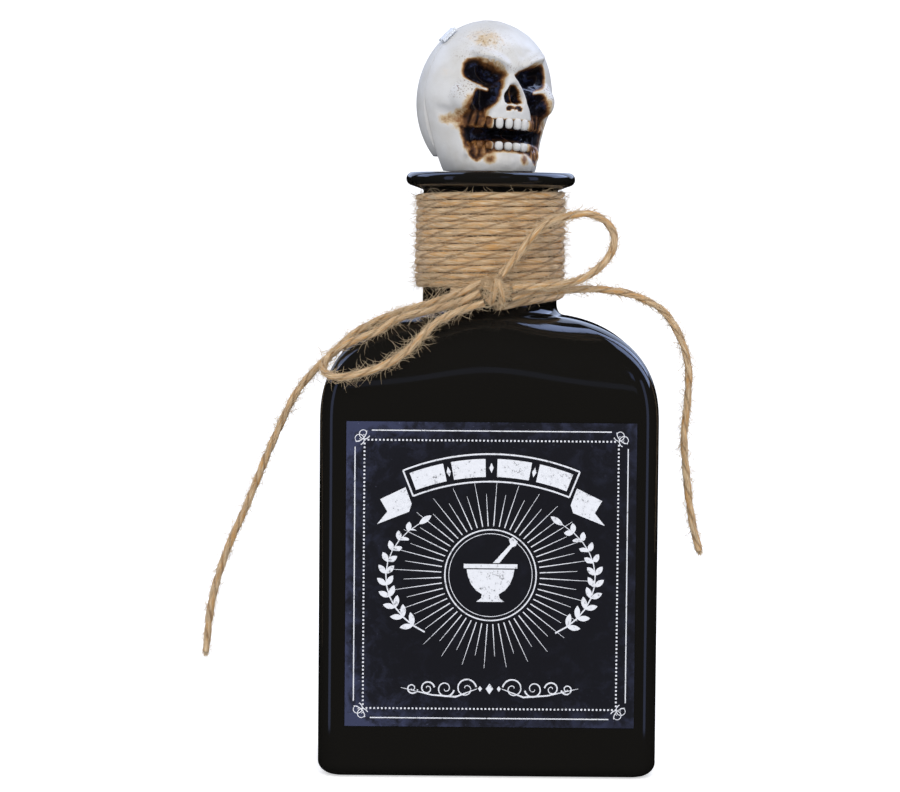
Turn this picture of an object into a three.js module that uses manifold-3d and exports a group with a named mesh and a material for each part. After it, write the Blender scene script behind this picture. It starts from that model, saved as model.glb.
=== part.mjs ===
// Poison bottle: a gloss-black glass bottle with a printed front label, twine wound round its neck and tied
// in a bow, and a cork stopper that carries a two-part moulded skull.
// Millimetres, +Z up, the front face towards -Y, the origin at the middle of the base.
import * as THREE from 'three';
import { mergeVertices } from 'three/addons/utils/BufferGeometryUtils.js';
import Module from 'manifold-3d';

// Clearances
const touchGap = 0.3; // between pieces that touch on the real object
const cutOverrun = 5; // how far a cutting solid runs past what it cuts
const weldDistance = 0.0001; // vertices closer than this are one

// Glass bottle
const bodyWidth = 94;
const bodyDepth = 58;
const bodyCornerRadius = 6.5;
const wallThickness = 3.2;
const floorThickness = 7;
const heelReach = 5.5; // how far the rounded heel runs in under the body
const heelRise = 4;
const restingBandWidth = 6;
const puntDepth = 2.5;
const sideShoulderHeight = 97; // where the narrow sides start to curve in
const frontShoulderHeight = 103; // where the wide faces start to curve in
const shoulderTopHeight = 127.9;
const shoulderCentreRadius = 10; // where the shoulder's curve would be level
const shoulderSquareness = 2.45; // exponent of the shoulder's superellipse
const neckRadius = 19;
const neckHeight = 40.1; // from the shoulder's top to the lip's top
const neckFilletReach = 2.1;
const neckFilletRise = 3.6;

const bottleHeight = shoulderTopHeight + neckHeight;

// Flange lip
const lipRadius = 23.9;
const lipEdgeRadius = 1.9;
const lipUndersideDrop = 1.05; // from the rim's curve down to the neck
const lipFillet = 0.6;
const mouthEdgeRadius = 0.9;
const lipEdgeTurns = [-70, -40, -10, 20, 55, 90]; // degrees round the lip's edge, underside to top

// Bore
const mouthRadius = 12;
const throatRadius = 11.4;
const throatDepth = 26; // below the lip's top, where the bore's taper ends
const throatFlare = 2.4; // how much the bore opens into the body

// Label
const labelWidth = 80;
const labelHeight = 84.5;
const labelThickness = 0.2;
const labelBottom = 14.6;
const labelOffset = 0.6; // right of the bottle's middle

// Stopper cork
const corkDepth = 22; // below the lip's top
const corkRise = 4.2; // above the lip's top, inside the skull
const corkChamfer = 0.8;

// Glue bead, squeezed out behind the skull's face half
const glueRadius = 0.55;
const glueEndSetback = 0.6; // behind the face half, at each end of the bead

// Skull
const skullHeight = 43;
const skullTurn = 27; // degrees, towards the viewer's right
const skullLean = 3; // degrees, its right eye lower
const seamSetback = 3; // the seam is this far behind the bottle's axis
const tabLength = 5.2;
const tabWidth = 3;
const tabThickness = 0.9;
const tabPlace = 49; // degrees up round the seam from the cranium's widest line

// Twine
const twineDiameter = 2.1;
const windingTurns = 12.5;
const turnClearance = 0.43; // between one turn of the winding and the next
const windingTopClearance = 0.78; // from the lip's fillet down to the winding's last turn
const bareNeckHeight = 5; // between the neck's fillet and the winding's first turn
const windingStart = 180; // degrees round the neck from +X, the left side
const tieEndAngle = -58; // degrees, where the loose last turn leaves the neck for the knot
const tieDrop = 2.6; // how far the loose last turn sinks below the winding by the neck's right side
const tieSag = 4.4; // and by the front
const knotCentre = [1.6, -24.4, 6.9]; // its height is above the shoulder's top
const knotRadii = [3.8, 2.4, 3.2];
const knotWrapRadius = 1.05;
const knotWrapShare = 0.8; // the wrap's line, as a share of the lump's size

// Routes of the free twine, from the knot outwards, with heights above the shoulder's top
const rightLoopRoute = [
  [2.6, -24.4, 11.5], [5.4, -24.0, 14.5], [8.4, -23.7, 18.5], [11.6, -23.6, 22.7],
  [15.4, -23.6, 26.1], [20.4, -23.8, 27.9], [26.4, -24.0, 28.7], [31.2, -24.2, 26.9],
  [33.8, -24.4, 23.1], [33.4, -24.8, 18.9], [30.4, -25.2, 14.5], [25.2, -25.6, 10.9],
  [19.4, -25.9, 9.3], [13.0, -26.1, 8.5], [6.0, -25.6, 8.1],
];
const rightTailRoute = [
  [5.8, -23.7, 5.5], [13.0, -23.2, 6.7], [22.0, -22.0, 7.7], [30.0, -20.4, 7.9],
  [39.8, -18.6, 6.2], [47.8, -18.0, 2.1], [53.0, -18.0, -5.5], [55.2, -18.0, -13.3],
  [55.2, -18.0, -22.3], [54.3, -18.0, -33.9], [55.0, -18.0, -42.5], [56.0, -18.0, -51.2],
  [57.6, -18.0, -59.9], [59.0, -18.0, -65.0],
];
const leftLoopRoute = [
  [-2.9, -24.9, 6.7], [-8.0, -23.6, 4.3], [-16.2, -20.9, 1.7], [-25.0, -20.2, -0.6],
  [-32.0, -23.4, -4.6], [-39.6, -23.2, -7.7], [-44.4, -21.8, -11.1], [-46.2, -25.0, -14.7],
  [-41.8, -29.9, -16.7], [-35.0, -30.5, -15.3], [-28.4, -29.6, -12.9], [-22.0, -28.2, -8.5],
  [-15.4, -25.4, -1.9], [-8.8, -24.8, 1.6], [-1.8, -25.2, 3.9],
];
const leftTailRoute = [
  [-2.4, -23.6, 9.5], [-8.0, -22.6, 6.8], [-16.4, -18.4, 3.6], [-25.0, -16.8, 1.0],
  [-32.6, -18.0, -2.0], [-39.0, -17.4, -6.0], [-43.9, -15.4, -11.0], [-47.4, -14.0, -14.0],
  [-53.8, -13.4, -21.7], [-60.6, -13.0, -35.9], [-67.8, -12.8, -53.7], [-73.8, -12.6, -67.9],
  [-77.4, -12.6, -80.7], [-79.2, -12.6, -95.3],
];

// Facets
const twineSides = 8;
const woundSides = 6;
const stepsPerTurn = 24;
const roundSegments = 48;
const glueSteps = 14;

const wasm = await Module();
wasm.setup();

const degrees = THREE.MathUtils.degToRad;
const mix = THREE.MathUtils.lerp;

function material(colour, roughness, metalness = 0) {
  return new THREE.MeshStandardMaterial({ color: colour, roughness, metalness });
}

const glassMaterial = material(0x0c0d0f, 0.06);
const labelMaterial = material(0x1b1b24, 0.45);
const corkMaterial = material(0x8a5a34, 0.85);
const glueMaterial = material(0x6b3f1e, 0.3);
const skullMaterial = material(0xdcdedd, 0.42);
const tabMaterial = material(0xe9edf2, 0.25);
const twineMaterial = material(0xb8956a, 0.95);

function part(name, geometry, finish) {
  const mesh = new THREE.Mesh(geometry, finish);
  mesh.name = name;
  return mesh;
}

// Closed meshes to solids and back

function toSolid(geometry) {
  const bare = geometry.clone();
  bare.deleteAttribute('normal');
  bare.deleteAttribute('uv');
  const merged = mergeVertices(bare, weldDistance);
  return new wasm.Manifold(new wasm.Mesh({
    numProp: 3,
    vertProperties: merged.attributes.position.array,
    triVerts: new Uint32Array(merged.index.array),
  }));
}

function toGeometry(solid) {
  const { vertProperties, triVerts } = solid.getMesh();
  const geometry = new THREE.BufferGeometry();
  geometry.setAttribute('position', new THREE.BufferAttribute(vertProperties, 3));
  geometry.setIndex(new THREE.BufferAttribute(triVerts, 1));
  geometry.computeVertexNormals();
  return geometry;
}

// Rings of equally many points, skinned from one end point to the other

function skin(rings, firstPoint, lastPoint) {
  const count = rings[0].length;
  const points = [firstPoint, ...rings.flat(), lastPoint];
  const last = points.length - 1;
  const faces = [];
  const at = (ring, i) => 1 + ring * count + (i % count);
  for (let i = 0; i < count; i++) {
    faces.push(0, at(0, i + 1), at(0, i));
    for (let ring = 0; ring + 1 < rings.length; ring++) {
      faces.push(at(ring, i), at(ring, i + 1), at(ring + 1, i));
      faces.push(at(ring, i + 1), at(ring + 1, i + 1), at(ring + 1, i));
    }
    faces.push(at(rings.length - 1, i), at(rings.length - 1, i + 1), last);
  }
  const geometry = new THREE.BufferGeometry().setFromPoints(points);
  geometry.setIndex(faces);
  geometry.computeVertexNormals();
  return geometry;
}

// Glass bottle

// How far the rounded rectangle of the body's plan reaches from its middle in one direction
function planReach(angle, halfWidth, halfDepth, radius) {
  const across = Math.abs(Math.cos(angle));
  const along = Math.abs(Math.sin(angle));
  if (along * halfWidth <= across * (halfDepth - radius)) return halfWidth / across;
  if (across * halfDepth <= along * (halfWidth - radius)) return halfDepth / along;
  const towards = across * (halfWidth - radius) + along * (halfDepth - radius);
  const beyond = (halfWidth - radius) ** 2 + (halfDepth - radius) ** 2 - radius ** 2;
  return towards + Math.sqrt(towards ** 2 - beyond);
}

// Directions round the bottle: close together at the plan's corners, wider along its faces
function spokes({ side = 3, corner = 5, face = 6 } = {}) {
  const cornerStart = Math.atan2(bodyDepth / 2 - bodyCornerRadius, bodyWidth / 2);
  const cornerEnd = Math.atan2(bodyDepth / 2, bodyWidth / 2 - bodyCornerRadius);
  const stretches = [
    [0, cornerStart, side],
    [cornerStart, cornerEnd, corner],
    [cornerEnd, Math.PI / 2, face],
  ];
  const quarter = stretches.flatMap(([from, to, count]) =>
    Array.from({ length: count }, (_, i) => mix(from, to, i / count)));
  const half = [...quarter, Math.PI / 2, ...quarter.slice(1).reverse().map((angle) => Math.PI - angle)];
  return [...half, ...half.map((angle) => angle + Math.PI)];
}

// One wall surface of the body, set in from the outside by the inset
function bodyWall(inset, innerRadius, topHeight) {
  const halfWidth = bodyWidth / 2 - inset;
  const halfDepth = bodyDepth / 2 - inset;
  const cornerRadius = bodyCornerRadius - inset;
  const reach = (angle, setback = 0) => planReach(
    angle, halfWidth - setback, halfDepth - setback, Math.max(cornerRadius - setback, cornerRadius / 2));
  const springHeight = (angle) => mix(sideShoulderHeight, frontShoulderHeight, Math.sin(angle) ** 2);
  const curve = (angle) => {
    const run = reach(angle) - shoulderCentreRadius;
    const endShare = (innerRadius + neckFilletReach - shoulderCentreRadius) / run;
    const endHeightShare = (1 - endShare ** shoulderSquareness) ** (1 / shoulderSquareness);
    const rise = (topHeight - springHeight(angle)) / endHeightShare;
    return { run, rise, endShare, endHeightShare };
  };
  return { reach, springHeight, curve };
}

function polar(angle, radius, height) {
  return new THREE.Vector3(radius * Math.cos(angle), radius * Math.sin(angle), height);
}

// Rings up the curve of a shoulder, each a share of the way to its end at the neck
function shoulderRings(wall, angles, ringCount) {
  const power = 2 / shoulderSquareness;
  return Array.from({ length: ringCount + 1 }, (_, step) => angles.map((angle) => {
    const { run, rise, endShare } = wall.curve(angle);
    const swing = (step / ringCount) * Math.acos(endShare ** (1 / power));
    const radius = shoulderCentreRadius + run * Math.cos(swing) ** power;
    return polar(angle, radius, wall.springHeight(angle) + rise * Math.sin(swing) ** power);
  }));
}

// Rings of the fillet from a shoulder's end up to a straight neck
function filletRings(wall, angles, radius, topHeight, endHeight, ringCount) {
  return Array.from({ length: ringCount }, (_, step) => angles.map((angle) => {
    const { run, rise, endShare, endHeightShare } = wall.curve(angle);
    const slope = (rise / run) * (endShare / endHeightShare) ** (shoulderSquareness - 1);
    const bend = new THREE.QuadraticBezierCurve(
      new THREE.Vector2(radius + neckFilletReach, topHeight),
      new THREE.Vector2(radius, topHeight + neckFilletReach * slope),
      new THREE.Vector2(radius, endHeight),
    ).getPoint((step + 1) / ringCount);
    return polar(angle, bend.x, bend.y);
  }));
}

function lipUnderside() {
  return bottleHeight - lipEdgeRadius * (1 - Math.sin(degrees(lipEdgeTurns[0]))) - lipUndersideDrop;
}

// The round part's outline from the top of the neck, over the lip and down the bore
function lipProfile() {
  const edgeCentre = new THREE.Vector2(lipRadius - lipEdgeRadius, bottleHeight - lipEdgeRadius);
  const edge = lipEdgeTurns.map((turn) => edgeCentre.clone().add(
    new THREE.Vector2(Math.cos(degrees(turn)), Math.sin(degrees(turn))).multiplyScalar(lipEdgeRadius)));
  const mouthCentre = new THREE.Vector2(mouthRadius + mouthEdgeRadius, bottleHeight - mouthEdgeRadius);
  const mouth = [90, 135, 180].map((turn) => mouthCentre.clone().add(
    new THREE.Vector2(Math.cos(degrees(turn)), Math.sin(degrees(turn))).multiplyScalar(mouthEdgeRadius)));
  return [
    new THREE.Vector2(neckRadius, lipUnderside() - lipFillet),
    new THREE.Vector2(neckRadius + lipFillet, lipUnderside()),
    ...edge,
    ...mouth,
    new THREE.Vector2(throatRadius, bottleHeight - throatDepth),
  ];
}

function glassBottle() {
  const angles = spokes();
  const outside = bodyWall(0, neckRadius, shoulderTopHeight);
  const boreTop = shoulderTopHeight - wallThickness;
  const insideNeck = throatRadius + throatFlare - neckFilletReach;
  const inside = bodyWall(wallThickness, insideNeck, boreTop);
  const flat = (reach, height) => angles.map((angle) => polar(angle, reach(angle), height));
  const puntEdge = heelReach + restingBandWidth;
  const puntShares = [0.35, 0.7, 0.9, 1];
  const punt = puntShares.map((share) => flat(
    (angle) => share * outside.reach(angle, puntEdge), puntDepth * (1 - share ** 2)));
  const heel = [0, 22.5, 45, 67.5, 90].map((turn) => flat(
    (angle) => outside.reach(angle, heelReach * (1 - Math.sin(degrees(turn)))),
    heelRise * (1 - Math.cos(degrees(turn)))));
  const round = lipProfile().map((p) => angles.map((angle) => polar(angle, p.x, p.y)));
  const cavityShoulder = shoulderRings(inside, angles, 6).reverse();
  const filletTop = shoulderTopHeight + neckFilletRise;
  const cavityFillet = filletRings(inside, angles, insideNeck, boreTop, filletTop, 3);
  const cavityHeel = [90, 60, 30, 0].map((turn) => flat(
    (angle) => inside.reach(angle, heelReach * (1 - Math.sin(degrees(turn)))),
    floorThickness + heelRise * (1 - Math.cos(degrees(turn)))));
  const rings = [
    ...punt, ...heel, ...shoulderRings(outside, angles, 8),
    ...filletRings(outside, angles, neckRadius, shoulderTopHeight, filletTop, 4),
    ...round, ...cavityFillet.reverse(), ...cavityShoulder, ...cavityHeel,
  ];
  return skin(rings, new THREE.Vector3(0, 0, puntDepth), new THREE.Vector3(0, 0, floorThickness));
}

// Label

function frontLabel() {
  const geometry = new THREE.BoxGeometry(labelWidth, labelThickness, labelHeight);
  geometry.translate(labelOffset, -(bodyDepth + labelThickness) / 2, labelBottom + labelHeight / 2);
  return geometry;
}

// Stopper

// The bore's radius at a depth below the lip's top
function boreRadius(depth) {
  return mix(mouthRadius, throatRadius, depth / throatDepth);
}

function corkPlug() {
  const top = bottleHeight + corkRise;
  const bottom = bottleHeight - corkDepth;
  const topRadius = mouthRadius - touchGap;
  const bottomRadius = boreRadius(corkDepth) - touchGap;
  return new THREE.LatheGeometry([
    new THREE.Vector2(0, bottom),
    new THREE.Vector2(bottomRadius - corkChamfer, bottom),
    new THREE.Vector2(bottomRadius, bottom + corkChamfer),
    new THREE.Vector2(topRadius, bottleHeight),
    new THREE.Vector2(topRadius, top - corkChamfer),
    new THREE.Vector2(topRadius - corkChamfer, top),
    new THREE.Vector2(0, top),
  ], roundSegments).rotateX(Math.PI / 2);
}

function polygon(radius, sides) {
  return new THREE.Shape(Array.from({ length: sides }, (_, i) => new THREE.Vector2(
    radius * Math.cos((2 * Math.PI * i) / sides), radius * Math.sin((2 * Math.PI * i) / sides))));
}

function sweep(curve, radius, sides, steps) {
  const settings = { steps, extrudePath: curve, bevelEnabled: false };
  return new THREE.ExtrudeGeometry(polygon(radius, sides), settings);
}

function glueBead() {
  const reach = mouthRadius + glueRadius;
  const height = bottleHeight + touchGap + glueRadius;
  const halfSpan = Math.acos((seamSetback + glueRadius + glueEndSetback) / reach);
  const behind = Math.PI / 2 + degrees(skullTurn);
  const places = Array.from({ length: glueSteps + 1 }, (_, i) => polar(
    mix(behind - halfSpan, behind + halfSpan, i / glueSteps), reach, height));
  return sweep(new THREE.CatmullRomCurve3(places), glueRadius, twineSides, glueSteps);
}

// Skull, worked out in shares of its height: sideways, forwards, and up from the lip's top.
// A feature leans with its outer end up, and turns with its outer end back, in degrees.
const craniumShares = { at: [0, -0.081, 0.465], radii: [0.456, 0.465, 0.535] };
const faceSectionShares = [
  { up: -0.047, side: 0.27, front: 0.288, squareness: 2.3 },
  { up: 0.023, side: 0.309, front: 0.326, squareness: 2.3 },
  { up: 0.116, side: 0.351, front: 0.328, squareness: 1.92 },
  { up: 0.233, side: 0.391, front: 0.326, squareness: 1.66 },
  { up: 0.349, side: 0.428, front: 0.344, squareness: 1.7 },
  { up: 0.465, side: 0.456, front: 0.367, squareness: 1.9 },
  { up: 0.581, side: 0.447, front: 0.36, squareness: 1.92 },
  { up: 0.698, side: 0.412, front: 0.337, squareness: 1.93 },
  { up: 0.814, side: 0.347, front: 0.279, squareness: 1.98 },
  { up: 0.907, side: 0.256, front: 0.186, squareness: 2.0 },
  { up: 0.965, side: 0.16, front: 0.084, squareness: 2.0 },
  { up: 0.993, side: 0.07, front: -0.009, squareness: 2.0 },
  { up: 1, side: 0.014, front: -0.06, squareness: 2.0 },
];
const raisedMiddleShares = {
  noseBridge: { at: [0, 0.29, 0.591], radii: [0.047, 0.074, 0.084] },
  nosePlate: { at: [0, 0.244, 0.447], radii: [0.147, 0.116, 0.13] },
  chin: { at: [0, 0.228, 0.07], radii: [0.177, 0.112, 0.079] },
  glabella: { at: [0, 0.293, 0.712], radii: [0.079, 0.065, 0.051] },
};
const raisedPairShares = {
  brow: { at: [0.165, 0.272, 0.749], radii: [0.14, 0.067, 0.047], lean: 22, turn: 36 },
  cheekbone: { at: [0.284, 0.186, 0.507], radii: [0.102, 0.093, 0.084], lean: 6, turn: 48 },
};
const hollowMiddleShares = {
  noseTop: { at: [0, 0.405, 0.53], radii: [0.037, 0.121, 0.056] },
  mouth: { at: [0, 0.33, 0.237], radii: [0.247, 0.153, 0.042] },
  lipLine: { at: [0, 0.456, 0.191], radii: [0.149, 0.126, 0.084] },
};
const hollowPairShares = {
  socket: { at: [0.177, 0.386, 0.651], radii: [0.126, 0.191, 0.091], lean: 18 },
  nostril: { at: [0.035, 0.405, 0.484], radii: [0.04, 0.121, 0.051], lean: -22 },
  cheekHollow: { at: [0.202, 0.391, 0.428], radii: [0.077, 0.149, 0.126], lean: -16 },
  underCheek: { at: [0.372, 0.137, 0.335], radii: [0.151, 0.047, 0.053], lean: 20, turn: 54 },
  toothRow: { at: [0.251, 0.302, 0.219], radii: [0.088, 0.135, 0.084], turn: 35 },
};
// Stretches of directions round the head and up it: from and to in degrees, and how many steps
const aroundStretches = [[-90, 0, 4], [0, 20, 4], [20, 160, 46], [160, 180, 4], [180, 270, 4]];
const upStretches = [[-66, -40, 3], [-40, 36, 32], [36, 88, 6]];
const lowAngle = -30; // degrees: lines this low start from the jaw's middle
const levelAngle = 8; // degrees: lines this high start from the cranium's middle
const lowOriginShare = 0.2;
const farShare = 0.75; // outside the head in every direction
const marchShare = 0.008; // steps of the search for the surface
const blendShare = 0.03; // how softly features run into each other
const toothRowShares = {
  upper: { forward: 0.335, up: 0.314, radii: [0.028, 0.026, 0.038] },
  lower: { forward: 0.326, up: 0.167, radii: [0.03, 0.027, 0.033] },
};
const toothArcShare = 0.214; // radius of both rows
const upperToothCount = 8;
const lowerToothCount = 7;
const toothAngle = 16.3; // degrees between neighbours along the row

// How deep a point lies inside an ellipsoid: negative inside, and close to a distance near its surface
function ellipsoidDepth({ at, radii, lean = 0, turn = 0 }, side, [sideways, forward, up]) {
  const across = side * sideways - at[0];
  const turned = across * Math.cos(degrees(turn)) - (forward - at[1]) * Math.sin(degrees(turn));
  const along = across * Math.sin(degrees(turn)) + (forward - at[1]) * Math.cos(degrees(turn));
  const leant = turned * Math.cos(degrees(lean)) + (up - at[2]) * Math.sin(degrees(lean));
  const risen = (up - at[2]) * Math.cos(degrees(lean)) - turned * Math.sin(degrees(lean));
  const near = Math.hypot(leant / radii[0], along / radii[1], risen / radii[2]);
  const slope = Math.hypot(leant / radii[0] ** 2, along / radii[1] ** 2, risen / radii[2] ** 2);
  return slope === 0 ? -Math.min(...radii) : (near * (near - 1)) / slope;
}

// The lesser of two values, rounded off where they are close
function blend(a, b) {
  const share = Math.max(blendShare - Math.abs(a - b), 0) / blendShare;
  return Math.min(a, b) - (share ** 2 * blendShare) / 4;
}

// The head's section at one height, eased between those of the table
function faceSection(up) {
  const last = faceSectionShares.length - 1;
  const at = (i) => faceSectionShares[THREE.MathUtils.clamp(i, 0, last)];
  const found = faceSectionShares.findLastIndex((section) => section.up <= up);
  const below = THREE.MathUtils.clamp(found, 0, last - 1);
  const [from, to] = [at(below), at(below + 1)];
  const rise = to.up - from.up;
  const share = THREE.MathUtils.clamp((up - from.up) / rise, 0, 1);
  const eased = (key) => {
    const slope = (i) => (at(i + 1)[key] - at(i - 1)[key]) / (at(i + 1).up - at(i - 1).up);
    const [leave, arrive] = [slope(below) * rise, slope(below + 1) * rise];
    const [start, finish] = [from[key], to[key]];
    return start + share * (leave + share * (3 * (finish - start) - 2 * leave - arrive
      + share * (leave + arrive - 2 * (finish - start))));
  };
  return { side: eased('side'), front: eased('front'), squareness: eased('squareness') };
}

// The same for the plain head: its sections, each half a rounded figure ahead of the seam
function plainHeadDepth([sideways, forward, up]) {
  const { side, front, squareness } = faceSection(up);
  const seam = -seamSetback / skullHeight;
  const ahead = Math.max(forward - seam, 0) / (front - seam);
  const near = (Math.abs(sideways / side) ** squareness + ahead ** squareness) ** (1 / squareness);
  return Math.max((near - 1) * Math.min(side, front - seam), up - faceSectionShares.at(-1).up);
}

function headDepth(point) {
  const raised = [
    ...Object.values(raisedMiddleShares).map((feature) => ellipsoidDepth(feature, 1, point)),
    ...[-1, 1].flatMap((side) => Object.values(raisedPairShares).map((f) => ellipsoidDepth(f, side, point))),
  ];
  const hollows = [
    ...Object.values(hollowMiddleShares).map((feature) => ellipsoidDepth(feature, 1, point)),
    ...[-1, 1].flatMap((side) => Object.values(hollowPairShares).map((f) => ellipsoidDepth(f, side, point))),
  ];
  const whole = raised.reduce(blend, plainHeadDepth(point));
  return -hollows.reduce(blend, -whole);
}

// From inside the head outwards: the first share at which a line leaves the head, found from its far end
function surfacePoint(origin, direction) {
  const at = (reach) => origin.map((value, i) => value + reach * direction[i]);
  let outside = farShare;
  while (outside > marchShare && headDepth(at(outside - marchShare)) > 0) outside -= marchShare;
  let inside = outside - marchShare;
  for (let halving = 0; halving < 12; halving++) {
    const middle = (inside + outside) / 2;
    if (headDepth(at(middle)) > 0) outside = middle;
    else inside = middle;
  }
  const [sideways, forward, up] = at(outside).map((share) => share * skullHeight);
  return new THREE.Vector3(sideways, -forward, up);
}

// Directions round the head and up it, close together over the face
function spread(stretches) {
  const places = stretches.flatMap(([from, to, count]) =>
    Array.from({ length: count }, (_, i) => mix(from, to, i / count)));
  return places.map(degrees);
}

function sculptedHead() {
  const round = spread(aroundStretches);
  const [sideways, forward, top] = craniumShares.at;
  const rings = spread(upStretches).map((rise) => {
    const low = THREE.MathUtils.smoothstep(rise, degrees(lowAngle), degrees(levelAngle));
    const origin = [sideways, forward, mix(lowOriginShare, top, low)];
    return round.map((turn) => surfacePoint(
      origin, [Math.cos(turn) * Math.cos(rise), Math.sin(turn) * Math.cos(rise), Math.sin(rise)]));
  });
  const crown = surfacePoint([sideways, forward, top], [0, 0, 1]);
  const under = rings[0][0].clone().setX(0).setY(-forward * skullHeight);
  return skin(rings.map((ring) => ring.reverse()), under, crown);
}

function ellipsoid({ at, radii }, detail) {
  const geometry = new THREE.SphereGeometry(1, ...detail).rotateX(Math.PI / 2);
  geometry.scale(...radii.map((share) => share * skullHeight));
  const [sideways, forward, up] = at.map((share) => share * skullHeight);
  return toSolid(geometry.translate(sideways, -forward, up));
}

// A row of teeth along an arc, each an ellipsoid
function teeth(count, { forward, up, radii }) {
  return Array.from({ length: count }, (_, i) => {
    const swing = degrees((i - (count - 1) / 2) * toothAngle);
    const at = [toothArcShare * Math.sin(swing), forward - toothArcShare * (1 - Math.cos(swing)), up];
    return ellipsoid({ at, radii }, [8, 6]);
  });
}

function wholeSkull() {
  const rows = [
    ...teeth(upperToothCount, toothRowShares.upper),
    ...teeth(lowerToothCount, toothRowShares.lower),
  ];
  return rows.reduce((head, tooth) => head.add(tooth), toSolid(sculptedHead()));
}

// A box in the skull's own frame that keeps what lies in front of, or behind, a plane across the head
function slab(fromForward, toForward, fromHeight, toHeight) {
  const width = 2 * skullHeight;
  const geometry = new THREE.BoxGeometry(width, toForward - fromForward, toHeight - fromHeight);
  return toSolid(geometry.translate(0, -(fromForward + toForward) / 2, (fromHeight + toHeight) / 2));
}

// From the skull's own frame to its place on the bottle, leaning about the middle of its cranium
function placeHead(geometry) {
  const pivot = craniumShares.at[2] * skullHeight;
  geometry.translate(0, 0, -pivot).rotateY(degrees(skullLean)).rotateZ(degrees(skullTurn));
  return geometry.translate(0, 0, bottleHeight + pivot);
}

// The space that the lip and the cork take, with clearance all round
function stopperSpace() {
  const reach = skullHeight;
  const floor = new THREE.BoxGeometry(2 * reach, 2 * reach, reach);
  floor.translate(0, 0, bottleHeight + touchGap - reach / 2);
  const height = corkRise + touchGap + cutOverrun;
  const socket = new THREE.CylinderGeometry(mouthRadius, mouthRadius, height, roundSegments);
  socket.rotateX(Math.PI / 2).translate(0, 0, bottleHeight + corkRise + touchGap - height / 2);
  return toSolid(floor).add(toSolid(socket));
}

function skullShells() {
  const head = wholeSkull();
  const front = slab(-seamSetback, skullHeight, -cutOverrun, 2 * skullHeight);
  const backFloor = corkRise + touchGap;
  const back = slab(-skullHeight, -seamSetback - touchGap, backFloor, 2 * skullHeight);
  const place = (half) => toSolid(placeHead(toGeometry(half))).subtract(stopperSpace());
  return [place(head.intersect(front)), place(ellipsoid(craniumShares, [30, 20]).intersect(back))];
}

// The tab lies on the seam, flat against the cranium
function seamTab() {
  const { at, radii } = craniumShares;
  const [halfWidth, , halfHeight] = radii.map((share) => share * skullHeight);
  const place = degrees(tabPlace);
  const outward = new THREE.Vector2(-Math.cos(place) / halfWidth, Math.sin(place) / halfHeight).normalize();
  const standOff = touchGap + tabThickness / 2;
  const geometry = new THREE.BoxGeometry(tabThickness, tabWidth, tabLength);
  geometry.rotateY(-outward.angle());
  geometry.translate(
    outward.x * standOff - halfWidth * Math.cos(place),
    seamSetback + touchGap / 2,
    outward.y * standOff + halfHeight * Math.sin(place) + at[2] * skullHeight,
  );
  return placeHead(geometry);
}

// Twine

const windingBottom = shoulderTopHeight + neckFilletRise + bareNeckHeight;
const windingTop = lipUnderside() - lipFillet - windingTopClearance;
const windingPitch = (windingTop - windingBottom) / windingTurns;
const woundDiameter = windingPitch - turnClearance;

function cord(route, diameter, steps) {
  const places = route.map(([x, y, above]) => new THREE.Vector3(x, y, shoulderTopHeight + above));
  return sweep(new THREE.CatmullRomCurve3(places), diameter / 2, twineSides, steps);
}

// Centre line of the winding, with a straight stretch of one diameter at each end
function windingLine() {
  const reach = neckRadius + touchGap + woundDiameter / 2;
  const steps = windingTurns * stepsPerTurn;
  const places = Array.from({ length: steps + 1 }, (_, i) => polar(
    degrees(windingStart) + (2 * Math.PI * i) / stepsPerTurn, reach,
    windingBottom + (windingPitch * i) / stepsPerTurn));
  const before = places[0].clone().sub(places[1]).setLength(woundDiameter).add(places[0]);
  const after = places[steps].clone().sub(places[steps - 1]).setLength(woundDiameter).add(places[steps]);
  return [before, ...places, after];
}

// An unbroken tube along a line of points that winds about the Z axis
function woundTube(line) {
  const rings = line.map((place, i) => {
    const ahead = line[Math.min(i + 1, line.length - 1)].clone().sub(line[Math.max(i - 1, 0)]).normalize();
    const outward = new THREE.Vector3(place.x, place.y, 0).normalize();
    const across = new THREE.Vector3().crossVectors(ahead, outward).normalize();
    const square = new THREE.Vector3().crossVectors(across, ahead);
    return Array.from({ length: woundSides }, (_, k) => {
      const turn = (2 * Math.PI * k) / woundSides;
      return place.clone()
        .addScaledVector(square, (Math.cos(turn) * woundDiameter) / 2)
        .addScaledVector(across, (Math.sin(turn) * woundDiameter) / 2);
    });
  });
  return skin(rings, line[0], line[line.length - 1]);
}

// The least space between one turn of the winding and the next, measured between points of its line
function leastTurnGap(line) {
  let least = Infinity;
  for (let i = 0; i < line.length; i++) {
    for (let j = i + Math.round(stepsPerTurn / 2); j < line.length; j++) {
      least = Math.min(least, line[i].distanceTo(line[j]) - woundDiameter);
    }
  }
  return least;
}

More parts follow.
